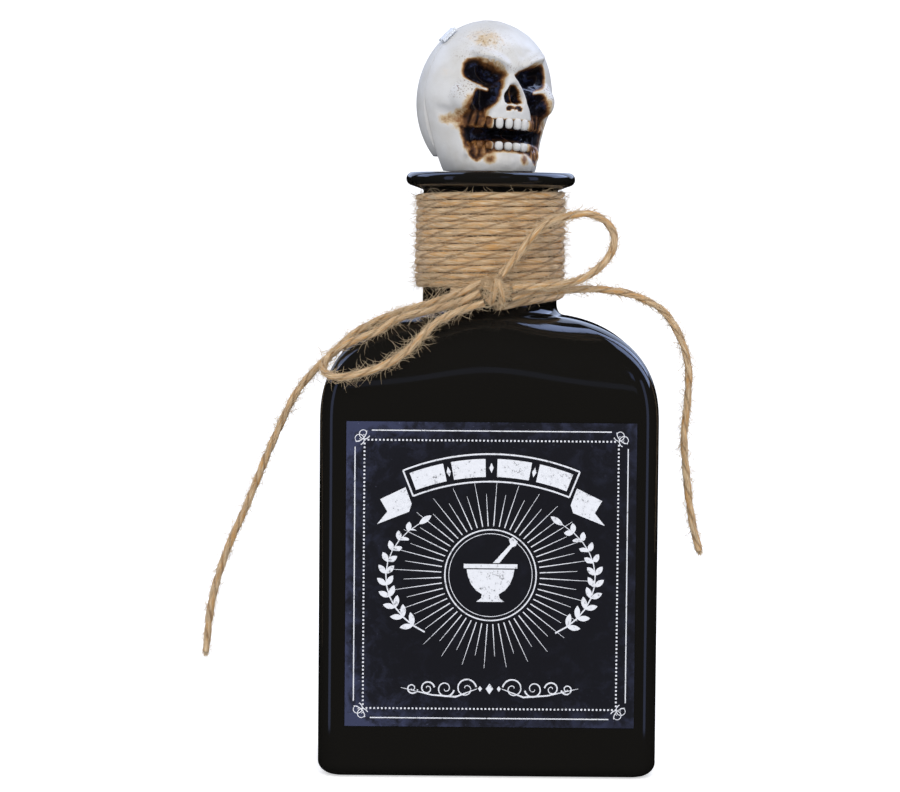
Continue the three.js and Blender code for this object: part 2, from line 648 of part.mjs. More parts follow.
// The twine's loose last turn: from the winding's lower end, round the back and the right, to the knot
function tieStrand() {
  const reach = neckRadius + touchGap + woundDiameter / 2;
  const turnStep = 360 / stepsPerTurn;
  const startGap = THREE.MathUtils.radToDeg((woundDiameter + 2 * touchGap) / reach);
  const first = windingStart - startGap;
  const count = Math.round((first - tieEndAngle) / turnStep);
  const places = Array.from({ length: count + 1 }, (_, i) => {
    const turn = mix(first, tieEndAngle, i / count);
    const backShare = THREE.MathUtils.clamp((windingStart - turn) / windingStart, 0, 1);
    const frontShare = THREE.MathUtils.clamp(turn / tieEndAngle, 0, 1);
    const height = windingBottom - tieDrop * backShare - (tieSag - tieDrop) * frontShare;
    return polar(degrees(turn), reach + frontShare * touchGap, height);
  });
  const [x, y, above] = knotCentre;
  const knotBottom = shoulderTopHeight + above - knotRadii[2];
  const underKnot = new THREE.Vector3(x, y + knotRadii[1], knotBottom - touchGap - woundDiameter / 2);
  places.push(underKnot);
  return sweep(new THREE.CatmullRomCurve3(places), woundDiameter / 2, twineSides, count + 2);
}

// The twine's other end, out from under the winding to the knot's left
const tieEndRoute = [[-10.8, -18.2, 7.1], [-8.0, -19.8, 7.0], [-5.2, -20.9, 7.0], [-2.7, -21.6, 7.3]];

// The knot: a lump crossed by one wrap of twine
function bowKnot() {
  const [, halfDepth, halfHeight] = knotRadii;
  const core = new THREE.SphereGeometry(1, 20, 14).scale(...knotRadii);
  const wrapReach = halfHeight * knotWrapShare;
  const wrap = new THREE.TorusGeometry(wrapReach, knotWrapRadius, twineSides, stepsPerTurn);
  wrap.rotateY(Math.PI / 2).scale(1, halfDepth / halfHeight, 1);
  const knot = toGeometry(toSolid(core).add(toSolid(wrap)));
  return knot.translate(...knotCentre).translate(0, 0, shoulderTopHeight);
}

// Assembly

const poisonBottle = new THREE.Group();
const stopper = new THREE.Group();
const [faceShell, backShell] = skullShells();
stopper.add(
  part('cork_plug', corkPlug(), corkMaterial),
  part('glue_bead', glueBead(), glueMaterial),
  part('skull_face', toGeometry(faceShell), skullMaterial),
  part('skull_back', toGeometry(backShell), skullMaterial),
  part('seam_tab', seamTab(), tabMaterial),
);
const winding = windingLine();
poisonBottle.add(
  part('glass_bottle', glassBottle(), glassMaterial),
  part('front_label', frontLabel(), labelMaterial),
  stopper,
  part('neck_winding', woundTube(winding), twineMaterial),
  part('tie_strand', tieStrand(), twineMaterial),
  part('tie_end', cord(tieEndRoute, woundDiameter, 4), twineMaterial),
  part('bow_knot', bowKnot(), twineMaterial),
  part('bow_loop_right', cord(rightLoopRoute, twineDiameter, 24), twineMaterial),
  part('bow_loop_left', cord(leftLoopRoute, twineDiameter, 24), twineMaterial),
  part('bow_tail_right', cord(rightTailRoute, twineDiameter, 18), twineMaterial),
  part('bow_tail_left', cord(leftTailRoute, twineDiameter, 18), twineMaterial),
);
console.log(`least gap between turns of the winding: ${leastTurnGap(winding).toFixed(2)} mm`);

export default poisonBottle;
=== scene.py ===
"""Poison bottle: black glass with a printed label, a sculpted skull stopper and a jute bow.

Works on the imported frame. Lengths are in millimetres until a piece is made. Only the stage is in metres.
"""
import math
from functools import partial

import bmesh
import bpy
import numpy as np
from bpy.props import FloatProperty, FloatVectorProperty, IntProperty, PointerProperty
from mathutils import Matrix, Vector, noise


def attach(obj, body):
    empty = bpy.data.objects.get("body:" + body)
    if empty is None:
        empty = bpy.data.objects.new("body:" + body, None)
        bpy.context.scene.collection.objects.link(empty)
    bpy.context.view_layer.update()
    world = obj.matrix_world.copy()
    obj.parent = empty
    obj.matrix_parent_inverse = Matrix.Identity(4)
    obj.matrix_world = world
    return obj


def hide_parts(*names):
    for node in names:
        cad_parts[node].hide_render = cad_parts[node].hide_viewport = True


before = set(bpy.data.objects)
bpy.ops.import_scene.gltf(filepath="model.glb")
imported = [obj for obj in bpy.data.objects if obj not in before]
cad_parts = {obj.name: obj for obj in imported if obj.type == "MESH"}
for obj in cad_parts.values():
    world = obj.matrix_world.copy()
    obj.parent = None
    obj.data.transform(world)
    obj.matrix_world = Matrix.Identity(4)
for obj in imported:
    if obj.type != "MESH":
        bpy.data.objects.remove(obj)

bl_info = {
    "name": "Poison bottle",
    "version": (1, 0, 0),
    "blender": (4, 5, 0),
    "location": "3D View > Sidebar > Poison bottle",
    "description": "Makes the pieces of a poison bottle with a skull stopper and a twine bow",
    "category": "Object",
}

METRES_PER_MM = 0.001


# Colour and settings

def linear(hex_text):
    """An sRGB hex colour as linear RGBA."""
    parts = [int(hex_text[i:i + 2], 16) / 255 for i in (1, 3, 5)]
    return (*[p / 12.92 if p <= 0.04045 else ((p + 0.055) / 1.055) ** 2.4 for p in parts], 1.0)


def colour_setting(name, hex_text, description):
    return FloatVectorProperty(
        name=name, description=description, subtype="COLOR", size=4, min=0, max=1, default=linear(hex_text))


def length_setting(name, millimetres, description):
    return FloatProperty(
        name=name, description=description, unit="LENGTH", subtype="DISTANCE", precision=5, min=0,
        default=millimetres * METRES_PER_MM)


class TwineSettings(bpy.types.PropertyGroup):
    """The jute twine of the winding and the bow."""

    diameter: length_setting("Diameter", 2.1, "Thickness of the free twine")
    lay: length_setting("Lay", 13.0, "Length in which the two plies turn once round each other")
    hairs: IntProperty(
        name="Hairs", description="Loose fibres on the winding", default=4600, min=0, max=6000)
    pale: colour_setting("Pale fibre", "#ecd7b4", "The lightest fibres")
    middle: colour_setting("Middle fibre", "#d0ae84", "Most of the fibres")
    golden: colour_setting("Golden fibre", "#d09e60", "Stretches with a golden tone")
    # The dark fibre colour also serves as the painted shade in the grooves between the plies.
    dark: colour_setting("Dark fibre", "#7c5c3c", "Fibres in the grooves")


class BottleSettings(bpy.types.PropertyGroup):
    """The glass and its label."""

    glass: colour_setting("Glass", "#171614", "The black of the glass")
    ground: colour_setting("Label ground", "#1a1a21", "The label's dark blue-black")
    stain: colour_setting("Label stain", "#3b4160", "The scuffed blue-violet of the label's edges")
    ink: colour_setting("Ink", "#eef1f8", "The label's white print")


class StopperSettings(bpy.types.PropertyGroup):
    """The skull on its cork."""

    bone: colour_setting("Bone", "#d6d7d8", "The moulding's ivory white")
    wash: colour_setting("Wash", "#5e3a1d", "The brown wash in its hollows")
    deep: colour_setting("Deep wash", "#0d0b10", "The black of sockets and mouth")
    cork: colour_setting("Cork", "#a9794c", "The cork's tan")


# Node materials

def add(tree, kind, values=(), out=0, stops=(), **settings):
    """Adds a shader node with its settings and links, and returns one of its outputs.

    A value that is an output becomes a link. Stops are those of a colour ramp, each a position with a
    linear colour or a grey value.
    """
    node = tree.nodes.new("ShaderNode" + kind)
    for name, value in settings.items():
        setattr(node, name, value)
    for key, value in dict(values).items():
        if isinstance(value, bpy.types.NodeSocket):
            tree.links.new(value, node.inputs[key])
        else:
            node.inputs[key].default_value = value
    if stops:
        elements = node.color_ramp.elements
        while len(elements) < len(stops):
            elements.new(0.5)
        for element, (position, colour) in zip(elements, stops):
            element.position = position
            element.color = colour if hasattr(colour, "__len__") else (colour, colour, colour, 1)
    return node.outputs[out] if node.outputs else None


def made_of(recipe, centre=(0, 0, 0)):
    """The material that a recipe describes, which takes the recipe's name and is made once.

    The recipe is given the function that adds a node to its tree, and the place on the piece in
    millimetres from a centre. It returns the inputs of the material's shader.
    """
    made = bpy.data.materials.get(recipe.__name__)
    if made is None:
        made = bpy.data.materials.new(recipe.__name__)
        made.use_nodes = True
        made.node_tree.nodes.clear()
        node = partial(add, made.node_tree)
        place = node("Mapping", {
            "Vector": node("TexCoord", out="Object"), "Scale": (1 / METRES_PER_MM,) * 3,
            "Location": tuple(-c for c in centre)})
        node("OutputMaterial", {"Surface": node("BsdfPrincipled", recipe(node, place))})
    return made


def blown_black_glass(node, place):
    """Blown soda-lime glass, coloured black in the melt: mirror gloss, with the slow waves of a mould."""
    slow = node("TexNoise", {"Vector": place, "Scale": 1 / 22, "Detail": 1})
    waves = node("Bump", {"Height": slow, "Strength": 0.35, "Distance": 0.16 * METRES_PER_MM})
    fine = node("TexNoise", {"Vector": place, "Scale": 1 / 1.6})
    film = node("TexNoise", {"Vector": place, "Scale": 1 / 7, "Detail": 4, "Roughness": 0.6})
    return {
        "Base Color": tuple(bpy.context.scene.bottle.glass), "IOR": 1.52,
        "Roughness": node("ValToRGB", {0: film}, stops=[(0.35, 0.045), (0.75, 0.1)]),
        "Specular Tint": linear("#dbe3f6"),
        "Normal": node("Bump", {
            "Height": fine, "Strength": 0.05, "Distance": 0.02 * METRES_PER_MM, "Normal": waves})}


def printed_vinyl_film(node, place):
    """Printed vinyl film: satin, near-black ink scuffed to blue-violet at its edges."""
    settings = bpy.context.scene.bottle
    axes = node("SeparateXYZ", {0: place}).node.outputs
    across, up = (
        node("Math", {0: node("Math", {0: axes[key]}, operation="ABSOLUTE"), 1: half}, operation="DIVIDE")
        for key, half in zip("XZ", LABEL_HALVES))
    edge = node("Math", {0: node("Math", {0: across, 1: up}, operation="MAXIMUM"), 1: 7}, operation="POWER")
    corner = node("Math", {0: node("Math", {0: across, 1: up}, operation="MULTIPLY"), 1: 2.4},
                  operation="POWER")
    left = node("Math", {0: axes["X"], 1: -0.006, 2: 0.5}, operation="MULTIPLY_ADD", use_clamp=True)
    wear = node("Math", {0: node("Math", {0: edge, 1: corner}, operation="ADD"), 1: left},
                operation="MULTIPLY")
    blots = node("TexNoise", {
        "Vector": place, "Scale": 1 / 5.5, "Detail": 8, "Roughness": 0.72, "Distortion": 0.4})
    scuffed = node("Math", {0: wear, 1: 0.16, 2: blots}, operation="MULTIPLY_ADD")
    scuffs = node("ValToRGB", {0: scuffed}, stops=[(0.52, 0), (0.7, 1)])
    haze = node("Math", {0: node("Math", {0: scuffs, 1: 0.12}, operation="ADD"),
                         1: node("Math", {0: wear, 1: 0.07}, operation="ADD")},
                operation="MULTIPLY", use_clamp=True)
    ground = node("Mix", {0: haze, 6: tuple(settings.ground), 7: tuple(settings.stain)}, 2,
                  data_type="RGBA")
    dust = node("TexNoise", {"Vector": place, "Scale": 1 / 0.7, "Detail": 3, "Roughness": 0.6})
    specks = node("ValToRGB", {0: dust}, stops=[(0.66, 0), (0.72, 1)])
    share = node("Math", {0: specks, 1: node("Math", {0: wear, 1: 0.5}, operation="MULTIPLY")},
                 operation="MULTIPLY", use_clamp=True)
    return {
        "Base Color": node("Mix", {0: share, 6: ground, 7: linear("#9aa0c4")}, 2, data_type="RGBA"),
        "Roughness": 0.42, "IOR": 1.5,
        "Normal": node("Bump", {"Height": blots, "Strength": 0.08, "Distance": 0.05 * METRES_PER_MM})}


def screen_printed_ink(node, place):
    """Screen-printed white ink: flat, a little rubbed, with pinholes down to the dark film."""
    settings = bpy.context.scene.bottle
    rubbed = node("TexNoise", {"Vector": place, "Scale": 1 / 1.1, "Detail": 6, "Roughness": 0.7})
    pinholes = node("ValToRGB", {0: rubbed}, stops=[(0.34, 0.75), (0.42, 0.06), (0.6, 0)])
    return {
        "Base Color": node("Mix", {0: pinholes, 6: tuple(settings.ink), 7: tuple(settings.ground)}, 2,
                           data_type="RGBA"),
        "Roughness": 0.6, "IOR": 1.45,
        "Normal": node("Bump", {"Height": rubbed, "Strength": 0.1, "Distance": 0.02 * METRES_PER_MM})}


def turned_natural_cork(node, place):
    """Natural cork, turned: matt tan with dark lenticels and a fine open grain."""
    soft = node("TexNoise", {"Vector": place, "Scale": 1 / 2.4, "Detail": 4, "Roughness": 0.6})
    tone = node("Mix", {0: soft, 6: tuple(bpy.context.scene.stopper.cork), 7: linear("#7d5231")}, 2,
                data_type="RGBA")
    cells = node("TexVoronoi", {"Vector": place, "Scale": 0.55}, "Distance")
    pores = node("ValToRGB", {0: cells}, stops=[(0.1, 1), (0.24, 0)])
    share = node("Math", {0: pores, 1: soft}, operation="MULTIPLY")
    height = node("Math", {0: soft, 1: pores}, operation="SUBTRACT")
    return {
        "Base Color": node("Mix", {0: share, 6: tone, 7: linear("#3c2413")}, 2, data_type="RGBA"),
        "Roughness": 0.86,
        "Normal": node("Bump", {"Height": height, "Strength": 0.5, "Distance": 0.25 * METRES_PER_MM})}


def hot_melt_glue(node, place):
    """Hot-melt glue over brown wash: a glossy amber bead."""
    clouds = node("TexNoise", {"Vector": place, "Scale": 1 / 1.8, "Detail": 3})
    return {
        "Base Color": node("Mix", {0: clouds, 6: linear("#4c2c12"), 7: linear("#94602c")}, 2,
                           data_type="RGBA"),
        "Roughness": 0.28, "Subsurface Weight": 0.15, "Subsurface Scale": METRES_PER_MM,
        "Normal": node("Bump", {"Height": clouds, "Strength": 0.3, "Distance": 0.15 * METRES_PER_MM})}


def clear_moulded_plastic(node, place):
    """Clear moulded plastic: a pale, frosty tab."""
    frost = node("TexNoise", {"Vector": place, "Scale": 1 / 1.2, "Detail": 3})
    return {
        "Base Color": linear("#eef3fa"), "IOR": 1.46, "Transmission Weight": 0.25,
        "Roughness": node("ValToRGB", {0: frost}, stops=[(0.3, 0.12), (0.7, 0.32)])}


def painted_moulded_resin(node, place):
    """Moulded resin, painted: satin ivory, a brown wash rubbed into its hollows, varnish in the sockets, and
    bluish-grey patches in their black that are painted reflections.

    The mesh's paint attribute holds how thick the wash is, how black its core, and how speckled.
    """
    settings = bpy.context.scene.stopper
    paint = node("VertexColor", layer_name="paint")
    thick, black, speckled = node("SeparateColor", {0: paint}).node.outputs
    streaks = node("TexNoise", {
        "Vector": place, "Scale": 1 / 2.0, "Detail": 6, "Roughness": 0.65, "Distortion": 0.4})
    fine = node("TexNoise", {"Vector": place, "Scale": 1 / 0.5, "Detail": 4, "Roughness": 0.6})
    clouds = node("TexNoise", {"Vector": place, "Scale": 1 / 7, "Detail": 3})
    base = node("Mix", {
        0: node("ValToRGB", {0: clouds}, stops=[(0.4, 0), (0.7, 1)]),
        6: tuple(settings.bone), 7: linear("#cccbc8")}, 2, data_type="RGBA")
    edge = node("Math", {0: thick, 1: node("Math", {0: 1.15, 1: thick}, operation="SUBTRACT")},
                operation="MULTIPLY")
    uneven = node("Math", {0: node("Math", {0: streaks, 1: 0.5}, operation="SUBTRACT"), 1: edge},
                  operation="MULTIPLY")
    wash = node("Math", {0: uneven, 1: 3.2, 2: thick}, operation="MULTIPLY_ADD")
    worn = node("ValToRGB", {0: wash}, stops=[
        (0.06, linear("#e0dfde")), (0.22, linear("#cbb592")), (0.4, linear("#94683a")),
        (0.6, tuple(settings.wash)), (0.82, linear("#2a1709")), (0.97, tuple(settings.deep))])
    washed = node("Mix", {0: node("ValToRGB", {0: wash}, stops=[(0.04, 0), (0.16, 1)]), 6: base, 7: worn},
                  2, data_type="RGBA")
    # Painted reflections: bluish-grey patches mixed into the black core of the sockets and mouth stand in for
    # glints on the varnish.
    glint_patches = node("TexNoise", {"Vector": place, "Scale": 1 / 2.6, "Detail": 4, "Roughness": 0.6})
    black_with_painted_glints = node("Mix", {
        0: node("ValToRGB", {0: glint_patches}, stops=[(0.53, 0), (0.7, 0.65)]),
        6: tuple(settings.deep), 7: linear("#303a5c")}, 2, data_type="RGBA")
    blackened = node("Mix", {
        0: node("ValToRGB", {0: black}, stops=[(0.5, 0), (0.95, 1)]), 6: washed, 7: black_with_painted_glints}, 2,
        data_type="RGBA")
    dots = node("ValToRGB", {0: fine}, stops=[(0.57, 0), (0.64, 1)])
    share = node("Math", {0: dots, 1: speckled}, operation="MULTIPLY", use_clamp=True)
    height = node("Math", {0: fine, 1: 0.4, 2: streaks}, operation="MULTIPLY_ADD")
    return {
        "Base Color": node("Mix", {0: share, 6: blackened, 7: linear("#6b4628")}, 2, data_type="RGBA"),
        "Roughness": node("ValToRGB", {0: black}, stops=[(0.4, 0.42), (0.85, 0.2)]), "IOR": 1.5,
        "Normal": node("Bump", {"Height": height, "Strength": 0.3, "Distance": 0.25 * METRES_PER_MM})}


def twisted_jute_yarn(node, place):
    """Two-ply jute: dry, stiff bast fibres that run along the yarn in pale, middle, golden and dark tones,
    with painted shade darkening the grooves between the plies.

    The UV map holds the share of a turn round the yarn, and the millimetres along it.
    """
    settings = bpy.context.scene.twine
    axes = node("SeparateXYZ", {0: node("UVMap", uv_map="UVMap")}).node.outputs
    girth = math.pi * settings.diameter / METRES_PER_MM
    lay = settings.lay / METRES_PER_MM
    fibre = node("Math", {0: node("Math", {0: axes["X"], 1: girth}, operation="MULTIPLY"),
                          1: node("Math", {0: axes["Y"], 1: -0.85 * girth / lay}, operation="MULTIPLY")},
                 operation="ADD")

    def fibres(width, length, detail, roughness):
        """Noise in fibres of a width and a length in millimetres."""
        stretched = node("CombineXYZ", {
            0: node("Math", {0: fibre, 1: 1 / width}, operation="MULTIPLY"),
            1: node("Math", {0: axes["Y"], 1: 1 / length}, operation="MULTIPLY")})
        return node("TexNoise", {"Vector": stretched, "Scale": 1, "Detail": detail, "Roughness": roughness})

    threads, bundles = fibres(0.2, 4.5, 3, 0.6), fibres(0.7, 8, 2, 0.5)
    tone = node("ValToRGB", {0: threads}, stops=[
        (0.3, tuple(settings.dark)), (0.45, tuple(settings.middle)), (0.62, tuple(settings.pale))])
    toned = node("Mix", {0: node("ValToRGB", {0: bundles}, stops=[(0.46, 0), (0.64, 0.9)]),
                         6: tone, 7: tuple(settings.golden)}, 2, data_type="RGBA")
    clouds = node("TexNoise", {"Vector": place, "Scale": 1 / 5})
    aged = node("Mix", {0: node("ValToRGB", {0: clouds}, stops=[(0.5, 0), (0.75, 0.5)]),
                        6: toned, 7: linear("#ab9a83")}, 2, data_type="RGBA")
    # Painted shade: the colour darkens towards the dark fibre colour along the grooves between the plies.
    turn = node("Math", {0: axes["X"], 1: 2 * math.pi}, operation="MULTIPLY")
    groove = node("Math", {0: node("Math", {0: turn}, operation="COSINE")}, operation="ABSOLUTE")
    height = node("Math", {0: bundles, 1: 0.8, 2: threads}, operation="MULTIPLY_ADD")
    return {
        "Base Color": node("Mix", {0: node("ValToRGB", {0: groove}, stops=[(0.88, 0), (1, 0.6)]),
                                   6: aged, 7: tuple(settings.dark)}, 2, data_type="RGBA"),
        "Roughness": 0.85, "IOR": 1.45, "Sheen Weight": 0.1,
        "Normal": node("Bump", {"Height": height, "Strength": 1, "Distance": 0.34 * METRES_PER_MM})}


def loose_jute_fibre(node, place):
    """Single bast fibres: pale straw, a little silky."""
    clouds = node("TexNoise", {"Vector": place, "Scale": 1 / 2.5})
    return {
        "Base Color": node("Mix", {0: clouds, 6: linear("#ecdcbc"), 7: linear("#bd9c70")}, 2,
                           data_type="RGBA"),
        "Roughness": 0.55, "IOR": 1.45}


def matt_paper_sweep(node, place):
    """Matt paper sweep: even white, lifted a little by its own light as a lit backdrop is."""
    clouds = node("TexNoise", {"Vector": place, "Scale": 1 / 60})
    return {
        "Base Color": node("Mix", {0: clouds, 6: linear("#f6f7f9"), 7: linear("#fafbfc")}, 2,
                           data_type="RGBA"),
        "Roughness": 0.9, "Emission Color": linear("#ffffff"), "Emission Strength": 0.55}


# Meshes

def smooth_shaded(mesh):
    mesh.polygons.foreach_set("use_smooth", [True] * len(mesh.polygons))


def piece(name, bm, body, finish, replaced=(), keep_normals=False):
    """Makes a bmesh in millimetres a piece of the scene, in metres, that rides on a body."""
    if not bm.verts:
        raise RuntimeError(f"{name} has no shape")
    if not keep_normals:
        bmesh.ops.recalc_face_normals(bm, faces=bm.faces)
    bmesh.ops.scale(bm, vec=(METRES_PER_MM,) * 3, verts=bm.verts)
    mesh = bpy.data.meshes.new(name)
    bm.to_mesh(mesh)
    bm.free()
    return settle(name, mesh, body, finish, replaced)


def settle(name, mesh, body, finish, replaced=()):
    """Makes a mesh a piece of the scene that rides on a body, in the place of the frame's nodes."""
    smooth_shaded(mesh)
    made = bpy.data.objects.new(name, mesh)
    bpy.context.scene.collection.objects.link(made)
    mesh.materials.append(finish)
    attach(made, body)
    if replaced:
        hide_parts(*replaced)
    return made


def refinish(name, recipe, centre=(0, 0, 0)):
    """Gives a node of the frame, whose mesh stays as it is, its real finish."""
    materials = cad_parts[name].data.materials
    materials.clear()
    materials.append(made_of(recipe, centre))


def mesh_of(curve):
    """A curve's mesh, with its thickness."""
    made = bpy.data.objects.new(curve.name, curve)
    bpy.context.scene.collection.objects.link(made)
    mesh = bpy.data.meshes.new_from_object(made)
    bpy.data.objects.remove(made)
    return mesh


def wobble(distance, size, seed):
    """Smooth noise from -1 to 1 along a length; its waves are about a size long."""
    return noise.noise(Vector((distance / size, seed * 17.31, seed * 3.77)))


# Twine

SHOULDER_TOP = 127.9
NECK_RADIUS = 19.0
RIGHT_LOOP = [
    (2.6, -24.4, 139.4), (5.4, -24.0, 142.4), (8.4, -23.7, 146.4), (11.6, -23.6, 150.6),
    (15.4, -23.6, 154.0), (20.4, -23.8, 155.8), (26.4, -24.0, 156.6), (31.2, -24.2, 154.8),
    (33.8, -24.4, 151.0), (33.4, -24.8, 146.8), (30.4, -25.2, 142.4), (25.2, -25.6, 138.8),
    (19.4, -25.9, 137.2), (13.0, -26.1, 136.4), (6.0, -25.6, 136.0)]
RIGHT_TAIL = [
    (5.8, -23.7, 133.4), (13.0, -23.2, 134.6), (22.0, -22.0, 135.6), (30.0, -20.4, 135.8),
    (39.8, -18.6, 134.1), (47.8, -18.0, 130.0), (53.0, -18.0, 122.4), (55.2, -18.0, 114.6),
    (55.2, -18.0, 105.6), (54.3, -18.0, 94.0), (55.0, -18.0, 85.4), (56.0, -18.0, 76.7),
    (57.6, -18.0, 68.0), (59.0, -18.0, 62.9)]
LEFT_LOOP = [
    (-2.9, -24.9, 134.6), (-8.0, -23.6, 132.2), (-16.2, -20.9, 129.6), (-25.0, -20.2, 127.3),
    (-32.0, -23.4, 123.3), (-39.6, -23.2, 120.2), (-44.4, -21.8, 116.8), (-46.2, -25.0, 113.2),
    (-41.8, -29.9, 111.2), (-35.0, -30.5, 112.6), (-28.4, -29.6, 115.0), (-22.0, -28.2, 119.4),
    (-15.4, -25.4, 126.0), (-8.8, -24.8, 129.5), (-1.8, -25.2, 131.8)]
LEFT_TAIL = [
    (-2.4, -23.6, 137.4), (-8.0, -22.6, 134.7), (-16.4, -18.4, 131.5), (-25.0, -16.8, 128.9),
    (-32.6, -18.0, 125.9), (-39.0, -17.4, 121.9), (-43.9, -15.4, 116.9), (-47.4, -14.0, 113.9),
    (-53.8, -13.4, 106.2), (-60.6, -13.0, 92.0), (-67.8, -12.8, 74.2), (-73.8, -12.6, 60.0),
    (-77.4, -12.6, 47.2), (-79.2, -12.6, 32.6)]
TIE_END = [(-10.8, -18.2, 135.0), (-8.0, -19.8, 134.9), (-5.2, -20.9, 134.9), (-2.7, -21.6, 135.2)]
KNOT_CENTRE = (1.6, -24.4, 134.8)


def curve_through(points, step):
    """Points about a step apart on the centripetal curve through a route's points."""
    knots = np.array(points, float)
    ends = np.vstack([2 * knots[0] - knots[1], knots, 2 * knots[-1] - knots[-2]])
    line = []
    for i in range(1, len(ends) - 2):
        p0, p1, p2, p3 = ends[i - 1:i + 3]
        gaps = [max(math.sqrt(np.linalg.norm(b - a)), 1e-6) for a, b in zip((p0, p1, p2), (p1, p2, p3))]
        leave = ((p1 - p0) / gaps[0] - (p2 - p0) / (gaps[0] + gaps[1]) + (p2 - p1) / gaps[1]) * gaps[1]
        arrive = ((p2 - p1) / gaps[1] - (p3 - p1) / (gaps[1] + gaps[2]) + (p3 - p2) / gaps[2]) * gaps[1]
        for t in np.arange(0, 1, 0.02):
            line.append(p1 + t * (leave + t * (3 * (p2 - p1) - 2 * leave - arrive
                                               + t * (leave + arrive - 2 * (p2 - p1)))))
    line.append(knots[-1])
    return evenly(np.array(line), step)


def evenly(line, step):
    """The line again, with points a step apart."""
    along = lengths_along(line)
    places = np.linspace(0, along[-1], max(2, int(round(along[-1] / step)) + 1))
    return np.stack([np.interp(places, along, line[:, k]) for k in range(3)], axis=1)


def lengths_along(line):
    return np.concatenate([[0], np.cumsum(np.linalg.norm(np.diff(line, axis=0), axis=1))])


def unit(vectors):
    return vectors / np.maximum(np.linalg.norm(vectors, axis=-1, keepdims=True), 1e-9)


def carried_frames(line, start_up=(0, 0, 1)):
    """Directions ahead, across and up along a line, turned as little as the line allows."""
    ahead = unit(np.gradient(line, axis=0))
    up = np.zeros_like(line)
    now = np.array(start_up, float)
    for i, way in enumerate(ahead):
        now = now - way * now.dot(way)
        now /= max(np.linalg.norm(now), 1e-9)
        up[i] = now
    return ahead, np.cross(up, ahead), up


def yarn_outline(turn, groove, uneven):
    """How far out a two-ply yarn reaches, as a share, in a direction measured from its groove."""
    return 1 - groove * np.abs(np.cos(turn)) ** 7 + uneven * np.sin(turn)


def yarn(line, radius, lay, sides, seed, frames=None, squash=(1.0, 1.0), groove=0.2):
    """A two-ply yarn round a line as a bmesh: a grid whose columns follow the plies, closed at its ends.

    Its twist, its thickness and the balance of its plies wander a little along it.
    """
    ahead, across, up = frames or carried_frames(line)
    along = lengths_along(line)
    bm = bmesh.new()
    layer = bm.loops.layers.uv.new("UVMap")
    bmesh.ops.create_grid(bm, x_segments=sides, y_segments=len(line) - 1, size=0.5, calc_uvs=True)
    turns = 2 * np.pi * np.arange(sides + 1) / sides
    bm.verts.ensure_lookup_table()
    for j, centre in enumerate(line):
        spun = turns - 2 * np.pi * along[j] / lay + 0.9 * wobble(along[j], 19, seed + 2)
        thick = radius * (1 + 0.09 * wobble(along[j], 9, seed) + 0.05 * wobble(along[j], 2.1, seed + 5))
        reach = thick * yarn_outline(turns, groove, 0.09 * wobble(along[j], 6, seed + 8))
        ring = (centre + np.outer(reach * np.cos(spun) * squash[0], across[j])
                + np.outer(reach * np.sin(spun) * squash[1], up[j]))
        for i in range(sides + 1):
            bm.verts[j * (sides + 1) + i].co = ring[i]
    for face in bm.faces:
        for loop in face.loops:
            loop[layer].uv.y *= along[-1]
    bmesh.ops.remove_doubles(bm, verts=[v for v in bm.verts if v.is_boundary], dist=1e-4)
    bmesh.ops.holes_fill(bm, edges=[e for e in bm.edges if e.is_boundary], sides=0)
    bmesh.ops.recalc_face_normals(bm, faces=bm.faces)
    return bm


def joined(parts):
    """Several bmeshes as one."""
    whole = bmesh.new()
    for part in parts:
        mesh = bpy.data.meshes.new("part")
        part.to_mesh(mesh)
        part.free()
        whole.from_mesh(mesh)
        bpy.data.meshes.remove(mesh)
    return whole


HAIR_RADII = (1, 0.95, 0.85, 0.7, 0.5, 0.2)
FRAYED_ENDS, KNOT_HAIRS = 70, 420


def hairs(name, roots, outward, along, seed, reach, lift, curl, thick=0.05):
    """Loose fibres that start at points on a yarn, each a thin curved tube of a few faces."""
    rng = np.random.default_rng(seed)
    count, steps = len(roots), len(HAIR_RADII) - 1
    length = rng.uniform(*reach, (count, 1)) * rng.uniform(0.5, 1.0, (count, 1))
    sign = np.where(rng.random((count, 1)) < 0.5, -1, 1)
    side = unit(np.cross(outward, along))
    way = unit(sign * along + outward * rng.normal(lift, 0.35, (count, 1))
               + side * rng.normal(0, 0.55, (count, 1)))
    bend = unit(rng.normal(0, 1, (count, 3))) * rng.uniform(0.2, 1, (count, 1)) * curl
    points = [roots]
    for _ in range(steps):
        points.append(points[-1] + way * length / steps)
        way = unit(way + bend * 0.6 + rng.normal(0, 0.12, (count, 3)))
    curve = bpy.data.curves.new(name + "_line", "CURVE")
    curve.dimensions = "3D"
    curve.bevel_depth = thick * METRES_PER_MM
    curve.bevel_resolution = 0
    curve.use_fill_caps = False
    for line in np.stack(points, axis=1) * METRES_PER_MM:
        spline = curve.splines.new("POLY")
        spline.points.add(steps)
        spline.points.foreach_set("co", np.hstack([line, np.ones((steps + 1, 1))]).ravel())
        spline.points.foreach_set("radius", HAIR_RADII)
    mesh = mesh_of(curve)
    mesh.name = name
    return settle(name, mesh, "bottle", made_of(loose_jute_fibre))


def surface_roots(line, frames, radius, count, seed, weight=None):
    """Points on a yarn's outside with the ways out and along there."""
    rng = np.random.default_rng(seed)
    share = None if weight is None else weight / weight.sum()
    at = rng.choice(len(line), count, p=share)
    ahead, across, up = (part[at] for part in frames)
    turn = rng.uniform(0, 2 * np.pi, (count, 1))
    outward = across * np.cos(turn) + up * np.sin(turn)
    return line[at] + outward * radius, outward, ahead


def twine_piece(name, bm, node):
    return piece(name, bm, "bottle", made_of(twisted_jute_yarn), [node], keep_normals=True)


